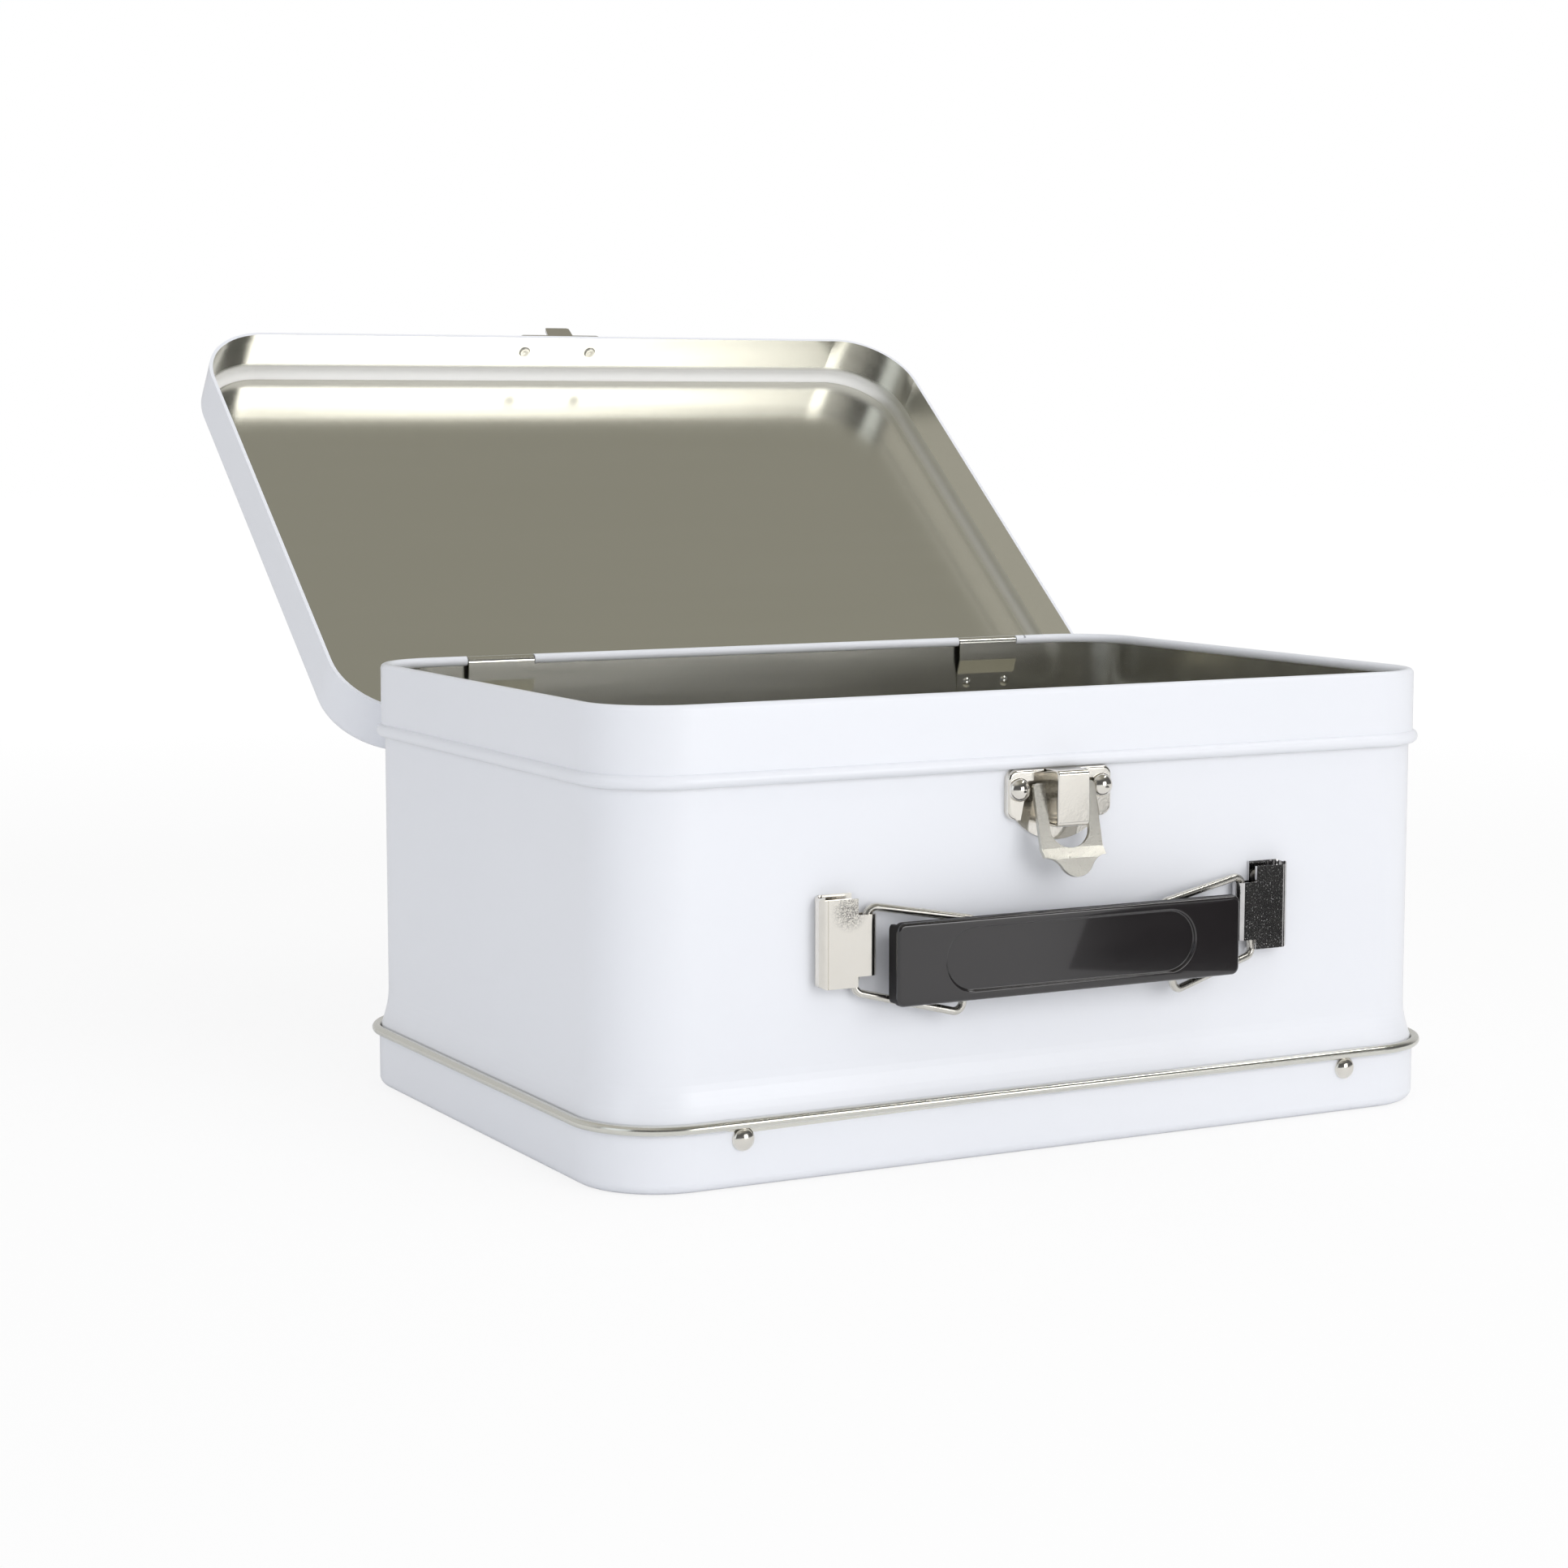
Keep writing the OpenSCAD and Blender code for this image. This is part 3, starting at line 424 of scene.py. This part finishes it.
def round_edges(piece, width, choose=lambda p: True, sharp=35, segments=4, clamp=True):
    """Softens a piece that isn't in edit mode yet, and polishes it."""
    only(piece)
    bpy.ops.object.mode_set(mode="EDIT")
    soften(width, choose, sharp, segments, clamp)
    bpy.ops.object.mode_set(mode="OBJECT")
    polish(piece)


def skin(name, solid, body, finish):
    """A merged copy of a solid, which it replaces."""
    piece = bpy.data.objects.new(name, nodes[solid].data.copy())
    bpy.context.scene.collection.objects.link(piece)
    only(piece)
    bpy.ops.object.mode_set(mode="EDIT")
    bpy.ops.mesh.select_all(action="SELECT")
    bpy.ops.mesh.remove_doubles(threshold=2e-6)
    bpy.ops.mesh.dissolve_limited(angle_limit=math.radians(0.6))
    bpy.ops.object.mode_set(mode="OBJECT")
    if piece.data.has_custom_normals:
        bpy.ops.mesh.customdata_custom_splitnormals_clear()
    piece.data.materials.clear()
    piece.data.materials.append(finish)
    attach(piece, body)
    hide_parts(solid)
    return piece


print("fittings: the tools are ready")

# %% [markdown]
# ## Latch plate and hasp
# The latch plate is a shallow pan: its rim rolls over in a wide curve and its
# edges are finer. The bevel of the rim may overlap its short facets, so it isn't
# clamped. The hasp's window is a little wider than the solid's: a new one could be
# cut, but the edges that are there only have to move apart from the middle.

# %% Latch plate and hasp
def rim(p):
    """The pan's rim, apart from the gap above the tongue."""
    return -82.2 < p.y < -81.8 and (abs(p.x) > 12.6 or (p.z > 93.5 and abs(p.x) > 6))


pan = skin("latch_pan", "latch_plate", "case", nickel)
round_edges(pan, 0.8, rim, 60, 5, False)
round_edges(pan, 0.3, lambda p: p.y < -83.2 and abs(p.x) > 4, 60, 4, False)
round_edges(pan, 0.2)
hasp = skin("hasp_frame", "latch_hasp", "hasp", worn)
only(hasp)
bpy.ops.object.mode_set(mode="EDIT")
window_wider, window_half, window_low, window_high = 1.17, 4.9, 72, 88
window = pick(
    "EDGE",
    lambda e: abs(place(e).x) < window_half and window_low < place(e).z < window_high
    and len(e.link_faces) == 2 and e.calc_face_angle() > 0.6,
)
bpy.ops.transform.resize(value=(window_wider, 1, 1), center_override=(0, 0, 0))
bpy.ops.object.mode_set(mode="OBJECT")
print("window edges widened:", window)
round_edges(hasp, 1.3, lambda p: abs(p.x) < 8.7 and p.z < 76.5, 18, 6)
round_edges(hasp, 0.18)

# %% [markdown]
# ## Handle brackets
# Each bracket is a flat tube of folded sheet. A line is pressed into its face
# where the outer fold begins, and its two outer corners are rounder than a bevel
# of their short edges could make them. So the line is cut and sunk, and the
# corner points are drawn in to an arc one by one.

# %% Handle brackets
bracket_end, bracket_half, bracket_middle = 67.8 * mm, 11 * mm, 56.2 * mm


def crease(piece):
    """The line pressed into a bracket's face where its outer fold begins."""
    only(piece)
    bpy.ops.object.mode_set(mode="EDIT")
    side = 1 if piece.data.vertices[0].co.x > 0 else -1
    start, end, depth = 65.25, 65.65, 0.2
    for line in (start, end):
        pick("FACE", lambda f: f.normal.y < -0.95 and f.calc_area() > 1e-5)
        bpy.ops.mesh.bisect(plane_co=(side * line * mm, 0, 0), plane_no=(1, 0, 0))
    strips = pick("FACE", lambda f: f.normal.y < -0.95 and start < abs(place(f).x) < end)
    bpy.ops.mesh.extrude_region_move(TRANSFORM_OT_translate={"value": (0, depth * mm, 0)})
    bpy.ops.object.mode_set(mode="OBJECT")
    print(piece.name, "crease faces:", strips)


def drawn_in(over, arc):
    """A point beyond a corner's arc, moved onto it; None for a point that stays."""
    return over.normalized() * arc if min(over) > 0 and over.length > arc else None


def ease_corners(piece, arc=2.5 * mm):
    """Draws a bracket's two outer corners in to a rounder arc."""
    straight_x, straight_z = bracket_end - arc, bracket_half - arc
    moved = 0
    for vert in piece.data.vertices:
        over = Vector((abs(vert.co.x) - straight_x, abs(vert.co.z - bracket_middle) - straight_z))
        over = drawn_in(over, arc)
        if over:
            vert.co.x = math.copysign(straight_x + over.x, vert.co.x)
            vert.co.z = bracket_middle + math.copysign(straight_z + over.y, vert.co.z - bracket_middle)
            moved += 1
    print(piece.name, "corner points drawn in:", moved)


for side, finish in (("left", rubbed), ("right", pitted)):
    bracket = skin("bracket_" + side, "handle_bracket_" + side, "case", finish)
    crease(bracket)
    ease_corners(bracket)
    round_edges(bracket, 0.2)

# %% [markdown]
# ## Catch and grip's back
# The catch's hump is what the hasp snaps over, so its outer corners are worn
# round. The solid's are square: a few cuts across the hump give its flat faces the
# points that can be drawn in. The lid is open, so the corners are found as they
# lie when it is shut. The grip's back plate only needs its edges softened.

# %% Catch and grip's back
def round_hump(piece, arc=2.6, plate_front=-84.4):
    """Draws in the two outer corners of the catch's hump, in millimetres of the shut lid."""
    only(piece)
    bpy.ops.object.mode_set(mode="EDIT")
    for x in (2.4, 3.0, 3.5, 3.9, 4.2):
        for side in (-1, 1):
            bpy.ops.mesh.select_all(action="SELECT")
            bpy.ops.mesh.bisect(plane_co=(side * x * mm, 0, 0), plane_no=(1, 0, 0))
    bpy.ops.object.mode_set(mode="OBJECT")
    spots = [closed(vert.co, Vector())[0] / mm for vert in piece.data.vertices]
    hump = [i for i, spot in enumerate(spots) if spot.y < plate_front]
    half, proud = max(abs(spots[i].x) for i in hump), min(spots[i].y for i in hump)
    moved = 0
    for i in hump:
        over = drawn_in(Vector((abs(spots[i].x) - (half - arc), proud + arc - spots[i].y)), arc)
        if over:
            spots[i].x = math.copysign(half - arc + over.x, spots[i].x)
            spots[i].y = proud + arc - over.y
            piece.data.vertices[i].co = to_open @ (spots[i] * mm - hinge) + hinge
            moved += 1
    print(piece.name, "hump", round(half * 2, 2), "mm wide, corner points drawn in:", moved)


catch = skin("catch_pressing", "lid_catch", "lid", nickel)
round_hump(catch)
round_edges(catch, 0.3)
back = skin("grip_back", "handle_grip_back", "grip", dull)
round_edges(back, 0.3)

# %% [markdown]
# ## The grip's shell
# The grip is moulded in two halves. Its front half is a flat shell with a shallow
# round-ended recess for the fingers, and with walls behind that leave room for the
# wires. A cut with a boolean would leave one big face with a hole, which shades
# badly once its edges are rounded. So the front face is taken out, the recess's
# outline is put in its place, and the two loops are bridged by a ring of faces.
# First comes the block: its four corners are rounded, its back is cut into a grid,
# and the cells that are walls are drawn back.

# %% Grip shell
grip_x, grip_z = -1.2, 50.6
grip_half_x, grip_half_z, grip_front, shell_back = 49, 10, -90.5, -88.3
wall_end_x, wall_middle_x, wall_outer_z, wall_inner_z, wall_depth = 47.5, 21, 9.3, 8, 2.2


def block(name, low, high):
    """A block between two corners, in millimetres."""
    bpy.ops.object.select_all(action="DESELECT")
    bpy.ops.mesh.primitive_cube_add(size=1, location=[(a + b) / 2 * mm for a, b in zip(low, high)])
    piece = bpy.context.object
    piece.name = name
    piece.scale = [(b - a) * mm for a, b in zip(low, high)]
    bpy.ops.object.transform_apply(location=True, rotation=False, scale=True)
    return piece


def is_wall(p):
    """True on the shell's back where an end wall or a middle wall stands."""
    across, up = abs(p.x - grip_x), abs(p.z - grip_z)
    return up < wall_outer_z and (across > wall_end_x or (across < wall_middle_x and up > wall_inner_z))


shell = block(
    "grip_shell",
    (grip_x - grip_half_x, grip_front, grip_z - grip_half_z),
    (grip_x + grip_half_x, shell_back, grip_z + grip_half_z),
)
bpy.ops.object.mode_set(mode="EDIT")
pick("EDGE", lambda e: abs(e.verts[0].co.y - e.verts[1].co.y) > mm)
bpy.ops.mesh.bevel(offset=2 * mm, segments=6)
cuts = [((grip_x + x, 0), (1, 0, 0)) for x in (-wall_end_x, -wall_middle_x, wall_middle_x, wall_end_x)]
cuts += [((0, grip_z + z), (0, 0, 1)) for z in (-wall_outer_z, -wall_inner_z, wall_inner_z, wall_outer_z)]
for (x, z), across in cuts:
    pick("FACE", lambda f: f.normal.y > 0.9)
    bpy.ops.mesh.bisect(plane_co=(x * mm, 0, z * mm), plane_no=across)
drawn = pick("FACE", lambda f: f.normal.y > 0.9 and is_wall(place(f)))
bpy.ops.mesh.extrude_region_move(TRANSFORM_OT_translate={"value": (0, wall_depth * mm, 0)})
print("wall faces drawn back:", drawn)

# %% [markdown]
# ## The finger recess
# The recess's outline is a small square, stretched and rounded at its ends into a
# stadium. With the front face gone, a ring of faces joins the shell's edge to the
# outline, and the outline is pushed in and closed. The shell's outer edge is
# rounded widely, and the recess's lips more finely.

# %% Finger recess
pick("FACE", lambda f: f.normal.y < -0.9)
bpy.ops.mesh.delete(type="ONLY_FACE")
recess_width, recess_reach, recess_depth = 15.2, 27.9, 0.8
bpy.ops.mesh.primitive_plane_add(
    size=recess_width * mm,
    location=(grip_x * mm, grip_front * mm, grip_z * mm),
    rotation=(math.pi / 2, 0, 0),
)
for end in (-1, 1):
    side_middle = Vector((grip_x + end * recess_width / 2, grip_front, grip_z))
    pick("EDGE", lambda e: e.is_boundary and (place(e) - side_middle).length < 0.1)
    bpy.ops.transform.translate(value=(end * recess_reach * mm, 0, 0))
pick("FACE", lambda f: f.normal.y < -0.9 or (f.normal.y > 0.9 and place(f).y < -90))
bpy.ops.mesh.bevel(offset=7.57 * mm, segments=14, affect="VERTICES")
pick("FACE", lambda f: abs(f.normal.y) > 0.9 and place(f).y < -90)
bpy.ops.mesh.remove_doubles(threshold=0.1 * mm)
pick("FACE", lambda f: abs(f.normal.y) > 0.9 and place(f).y < -90)
bpy.ops.mesh.delete(type="ONLY_FACE")
loops = pick("EDGE", lambda e: len(e.link_faces) < 2)
bpy.ops.mesh.bridge_edge_loops()
lip = pick("EDGE", lambda e: len(e.link_faces) < 2)
bpy.ops.mesh.extrude_region_move(TRANSFORM_OT_translate={"value": (0, recess_depth * mm, 0)})
bpy.ops.mesh.edge_face_add()
bpy.ops.mesh.select_all(action="SELECT")
bpy.ops.mesh.normals_make_consistent(inside=False)
print("edges in both loops:", loops, "of them in the recess:", lip)


def in_recess(p):
    """True within the recess's outline."""
    return abs(p.x - grip_x) < 35.8 and abs(p.z - grip_z) < 7.9


soften(0.9, lambda p: p.y < grip_front + 0.1 and not in_recess(p), 60, 5)
soften(0.44, lambda p: p.y < grip_front + 0.1 and in_recess(p), 60, 6)
soften(0.34, lambda p: abs(p.y - grip_front - recess_depth) < 0.05 and in_recess(p), 60, 4)
soften(0.25, lambda p: p.y > shell_back - 0.1, 60, 2)
bpy.ops.object.mode_set(mode="OBJECT")
polish(shell)
paint(
    shell,
    [plastic, dull],
    lambda c, n: 0 if n.y < -0.3 or (c.y < -0.0896 and abs(c.z - grip_z * mm) < 0.0079) else 1,
)
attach(shell, "grip")
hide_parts("handle_grip")

# %% [markdown]
# ## Wire links
# Each link is one wire, bent at four corners into a loop. A curve with a round
# section would do, but the corners have to be real bends: a flat four-sided face
# gives the loop, its corners are bevelled into arcs, and the outline is then
# turned into a curve that carries the wire's thickness.

# %% Wire links
sag, swing = math.radians(11.5), math.radians(9.46)
leg_x, leg_y, leg_z = 55.6, -82.02, 53.9
reach, outer_half, inner_half = 28, 10.3, 11.3
corners = [(0, outer_half), (-reach, inner_half), (-reach, -inner_half), (0, -outer_half)]


def link_corner(side, along, up):
    """A corner of the loop in the frame: swung towards the grip, then sagging."""
    point = Matrix.Rotation(swing, 3, "Z") @ Vector((along, 0, up))
    point = Matrix.Rotation(-sag, 3, "Y") @ point
    return Vector((side * (leg_x + point.x), leg_y + point.y, leg_z + point.z)) * mm


def wire_link(name, side, solid, body):
    """A closed loop of round wire with bent corners."""
    bpy.ops.object.select_all(action="DESELECT")
    bpy.ops.mesh.primitive_plane_add(size=mm)
    piece = bpy.context.object
    piece.name = name
    loop = [piece.data.loops[i].vertex_index for i in piece.data.polygons[0].loop_indices]
    for number, corner in zip(loop, corners):
        piece.data.vertices[number].co = link_corner(side, *corner)
    bpy.ops.object.mode_set(mode="EDIT")
    bpy.ops.mesh.select_all(action="SELECT")
    bpy.ops.mesh.delete(type="ONLY_FACE")
    bpy.ops.mesh.select_all(action="SELECT")
    bpy.ops.mesh.bevel(offset=2.2 * mm, segments=8, affect="VERTICES")
    bpy.ops.object.mode_set(mode="OBJECT")
    bpy.ops.object.convert(target="CURVE")
    piece.data.bevel_depth = 1.0 * mm
    piece.data.bevel_resolution = 5
    bpy.ops.object.convert(target="MESH")
    bpy.ops.object.shade_smooth()
    piece = bpy.context.object
    piece.data.materials.clear()
    piece.data.materials.append(wire)
    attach(piece, body)
    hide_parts(solid)
    size = [round(v / mm, 1) for v in piece.dimensions]
    print(name, "faces:", len(piece.data.polygons), "size in mm:", size)


wire_link("wire_link_left", -1, "handle_link_left", "link_left")
wire_link("wire_link_right", 1, "handle_link_right", "link_right")

# %% [markdown]
# ## Rivet heads
# A set rivet has a full round head. The solids show its place and a plain dome,
# and a smooth head is set over each. One is modelled from half a ball, and each
# rivet gets its own copy, turned to the sheet that it holds. The catch's rivets
# ride on the open lid, so their heads are placed as on the shut lid and turned open.

# %% Rivet heads
bpy.ops.object.select_all(action="DESELECT")
bpy.ops.mesh.primitive_uv_sphere_add(segments=36, ring_count=24, radius=1)
ball = bpy.context.object
bpy.ops.object.mode_set(mode="EDIT")
bpy.ops.mesh.select_all(action="SELECT")
bpy.ops.mesh.bisect(plane_co=(0, 0, 0), plane_no=(0, 0, 1), clear_inner=True, use_fill=True)
bpy.ops.object.mode_set(mode="OBJECT")


def rivet_head(name, width, height, spot, facing, body, finish=nickel):
    """A round head of a width and height in millimetres, standing on a sheet."""
    piece = bpy.data.objects.new(name, ball.data.copy())
    bpy.context.scene.collection.objects.link(piece)
    only(piece)
    piece.scale = (width / 2 * mm, width / 2 * mm, height * mm)
    piece.rotation_euler = Vector(facing).to_track_quat("Z", "Y").to_euler()
    piece.location = spot
    bpy.ops.object.transform_apply(location=True, rotation=True, scale=True)
    bpy.ops.object.shade_smooth_by_angle(angle=math.radians(60))
    piece.data.materials.append(finish)
    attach(piece, body)
    print(name, "at", [round(v / mm, 1) for v in spot])


low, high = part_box("tray_rivets")
tray_x, head_reach = 87 * mm, 1.5 * mm
for x_side, x_name in ((-1, "left"), (1, "right")):
    for y_side, y_name in ((-1, "front"), (1, "back")):
        spot = (x_side * tray_x, y_side * (high[1] - head_reach), (low[2] + high[2]) / 2)
        rivet_head("tray_head_%s_%s" % (x_name, y_name), 5.8, 1.75, spot, (0, y_side, 0), "case")
low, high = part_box("latch_rivets")
latch_x, ear_front = 11.8 * mm, low[1] + 1.7 * mm
for x_side, name in ((-1, "latch_head_left"), (1, "latch_head_right")):
    spot = (x_side * latch_x, ear_front, (low[2] + high[2]) / 2)
    rivet_head(name, 5.8, 2.0, spot, (0, -1, 0), "case")
catch_points = [closed(vert.co, Vector())[0] for vert in nodes["lid_catch_rivets"].data.vertices]
catch_x, inside = 11.3 * mm, max(p.y for p in catch_points) - 0.5 * mm
head_z = (min(p.z for p in catch_points) + max(p.z for p in catch_points)) / 2
for x_side, name in ((-1, "catch_head_left"), (1, "catch_head_right")):
    spot = to_open @ (Vector((x_side * catch_x, inside, head_z)) - hinge) + hinge
    rivet_head(name, 3.6, 0.56, spot, to_open @ Vector((0, 1, 0)), "lid", satin)
bpy.data.objects.remove(ball)

# %% [markdown]
# ## Small parts that stay
# The rivets, pins, straps and tabs already have their real shape, so they only
# take a finish. The straps are cut from the same tinned sheet as the body.

# %% Small parts
for finish, names in (
    (nickel, ("tray_rivets", "latch_rivets")),
    (tin, ("hinge_strap_left", "hinge_strap_right", "strap_rivets")),
    (satin, ("lid_tab_left", "lid_tab_right", "lid_tab_rivets", "bracket_rivets", "lid_catch_rivets")),
    (wire, ("hinge_pin_left", "hinge_pin_right")),
):
    for name in names:
        nodes[name].data.materials.clear()
        nodes[name].data.materials.append(finish)
print("finished:", sum(len(n.data.materials) > 0 for n in nodes.values()), "of", len(nodes))

# %% [markdown]
# ## Studio floor
# The box stands on a white sweep. For the camera the paper glows: only in part
# near the box, so that its shadow stays, and wholly further out, where a real
# sweep turns up into a white wall. A wall behind would do the same, but it would
# also be mirrored in the metal.

# %% Studio floor
bpy.ops.object.select_all(action="DESELECT")
bpy.ops.mesh.primitive_circle_add(vertices=96, radius=6, fill_type="NGON", location=(0, 0, -0.0002))
floor = bpy.context.object
floor.name = "floor"
paper = finish_of("paper", (0.9, 0.9, 0.9), 0.0, 0.9)
floor.data.materials.append(paper)
tree = paper.node_tree
ray = tree.nodes.new("ShaderNodeLightPath")
glow = tree.nodes.new("ShaderNodeEmission")
mix = tree.nodes.new("ShaderNodeMixShader")
share = tree.nodes.new("ShaderNodeMath")
share.operation = "MULTIPLY"
distance = node(paper, "VectorMath", i0=node(paper, "TexCoord").outputs["Object"])
distance.operation = "LENGTH"
far = spread(paper, distance.outputs[1], 0.8, 1.0, 0.5, 1.3)
tree.links.new(far, share.inputs[1])
tree.links.new(ray.outputs["Is Camera Ray"], share.inputs[0])
tree.links.new(share.outputs[0], mix.inputs[0])
tree.links.new(tree.nodes["Principled BSDF"].outputs[0], mix.inputs[1])
tree.links.new(glow.outputs[0], mix.inputs[2])
tree.links.new(mix.outputs[0], tree.nodes["Material Output"].inputs["Surface"])
glow.inputs["Strength"].default_value = 1.03
print("floor at", round(floor.location.z, 4))

# %% [markdown]
# ## Room light
# The room is two rooms in one. What lights the box is even and white, with a
# dimmer ceiling. What its metal and gloss mirror is another: dark walls in front,
# lighter ones behind, and a ceiling that goes from light at the left to grey-green
# at the right, which is what the open lid shows. One room for both would either
# leave the enamel grey or the tin white.

# %% Room light
world = bpy.data.worlds.new("room")
bpy.context.scene.world = world
world.use_nodes = True
tree = world.node_tree


def room(kind, **inputs):
    """Adds a node to the room."""
    return node(world, kind, **inputs)


def ramp(value, *stops):
    """A grey or coloured ramp over a value."""
    new = room("ValToRGB", i0=value)
    elements = new.color_ramp.elements
    while len(elements) < len(stops):
        elements.new(0.5)
    for element, (position, color) in zip(elements, stops):
        element.position = position
        element.color = (*color, 1) if isinstance(color, tuple) else (color, color, color, 1)
    return new.outputs[0]


way = room("SeparateXYZ", i0=room("TexCoord").outputs["Generated"])
soft = ramp(way.outputs["Z"], (0.0, 0.92), (0.45, 0.88), (0.75, 0.42), (1.0, 0.36))
behind = room("MapRange", i0=way.outputs["Y"], i1=-0.1, i2=0.35, i3=0.0, i4=1.0).outputs[0]
mirrored_walls = ramp(behind, (0.0, 0.10), (1.0, 0.6))
height = room("MapRange", i0=way.outputs["Z"], i1=0.5, i2=0.78, i3=0.0, i4=1.0).outputs[0]
mirrored = room("Mix")
mirrored.data_type = "RGBA"
tree.links.new(height, mirrored.inputs[0])
tree.links.new(mirrored_walls, mirrored.inputs[6])
sideways = room("MapRange", i0=way.outputs["X"], i1=-0.3, i2=0.1, i3=0.0, i4=1.0).outputs[0]
mirrored_ceiling = ramp(sideways, (0.0, (0.56, 0.55, 0.52)), (1.0, (0.300, 0.293, 0.250)))
tree.links.new(mirrored_ceiling, mirrored.inputs[7])
path = room("LightPath").outputs
lit = room("Background", Color=soft)
shown = room("Background", Color=mirrored.outputs[2])
white = room("Background", Color=(1, 1, 1, 1))
glossy = room("MixShader", i0=path["Is Glossy Ray"], i1=lit.outputs[0], i2=shown.outputs[0])
seen = room("MixShader", i0=path["Is Camera Ray"], i1=glossy.outputs[0], i2=white.outputs[0])
tree.links.new(seen.outputs[0], tree.nodes["World Output"].inputs["Surface"])
print("room nodes:", len(tree.nodes))

# %% [markdown]
# ## Reflected cards
# Metal is shown by what it mirrors. Cards that only gloss can see stand where the
# fittings look: a bright one far in front at the right for the latch and the left
# bracket, a narrow bright one high at the right for the thin lines along edges, a
# pale one at the left, and a black one on the floor that the right bracket
# mirrors. Lamps could be mirrored too, but then they would change the enamel.

# %% Reflected cards
def card(name, spot, width, height, strength, color=(1, 1, 1), toward=(0, 0, 0)):
    """A bright or black card that only metal and gloss can see."""
    bpy.ops.object.select_all(action="DESELECT")
    bpy.ops.mesh.primitive_plane_add(size=1, location=spot)
    piece = bpy.context.object
    piece.name = name
    piece.scale = (width, height, 1)
    piece.rotation_euler = (Vector(toward) - Vector(spot)).to_track_quat("Z", "Y").to_euler()
    bpy.ops.object.transform_apply(location=False, rotation=False, scale=True)
    glowing = finish_of(name, (0, 0, 0), 0.0, 1.0)
    shader = glowing.node_tree.nodes["Principled BSDF"].inputs
    shader["Emission Color"].default_value = (*color, 1)
    shader["Emission Strength"].default_value = strength
    piece.data.materials.append(glowing)
    for ray in ("camera", "diffuse", "transmission", "volume_scatter", "shadow"):
        setattr(piece, "visible_" + ray, False)
    print(name, "at", spot, "strength", strength)
    return piece


floor_spot, floor_turn = (0.369, -0.448, 0.001), math.radians(36.6)
card("right_front_card", (0.765, -1.848, 0.31), 0.74, 0.66, 3.6)
card("high_card", (1.08, -0.62, 1.4), 0.6, 0.14, 8.0)
card("left_card", (-1.9, -0.5, 0.7), 1.2, 1.3, 1.0, (0.9, 0.95, 1.0))
flag = card("floor_flag", floor_spot, 0.2, 0.5, 0.0, toward=(*floor_spot[:2], 1))
flag.rotation_euler = (0, 0, floor_turn)

# %% [markdown]
# ## Lamps
# Three large soft lamps shape the enamel: one above, one in front at the right
# and a weaker, cooler one at the left, so the left wall is a shade darker and
# bluer than the front. They are hidden from reflections, so the metal mirrors the
# room and not their square edges.

# %% Lamps
def lamp(name, spot, aim, size, power, color=(1, 1, 1)):
    """A square soft lamp that lights surfaces but isn't mirrored."""
    data = bpy.data.lights.new(name, "AREA")
    data.size = size
    data.energy = power
    data.color = color
    light = bpy.data.objects.new(name, data)
    bpy.context.scene.collection.objects.link(light)
    light.location = spot
    light.rotation_euler = (Vector(aim) - Vector(spot)).to_track_quat("-Z", "Y").to_euler()
    light.visible_glossy = False
    print(name, "at", spot, "power", power)


lamp("ceiling_lamp", (0.3, -0.2, 1.6), (0, 0, 0), 1.4, 7)
lamp("front_lamp", (0.4, -1.6, 0.6), (0, 0, 0.05), 1.2, 7.5)
lamp("left_lamp", (-1.6, -0.7, 0.3), (0, 0, 0.05), 1.2, 3, (0.82, 0.89, 1.0))
bpy.context.scene.view_settings.view_transform = "Standard"
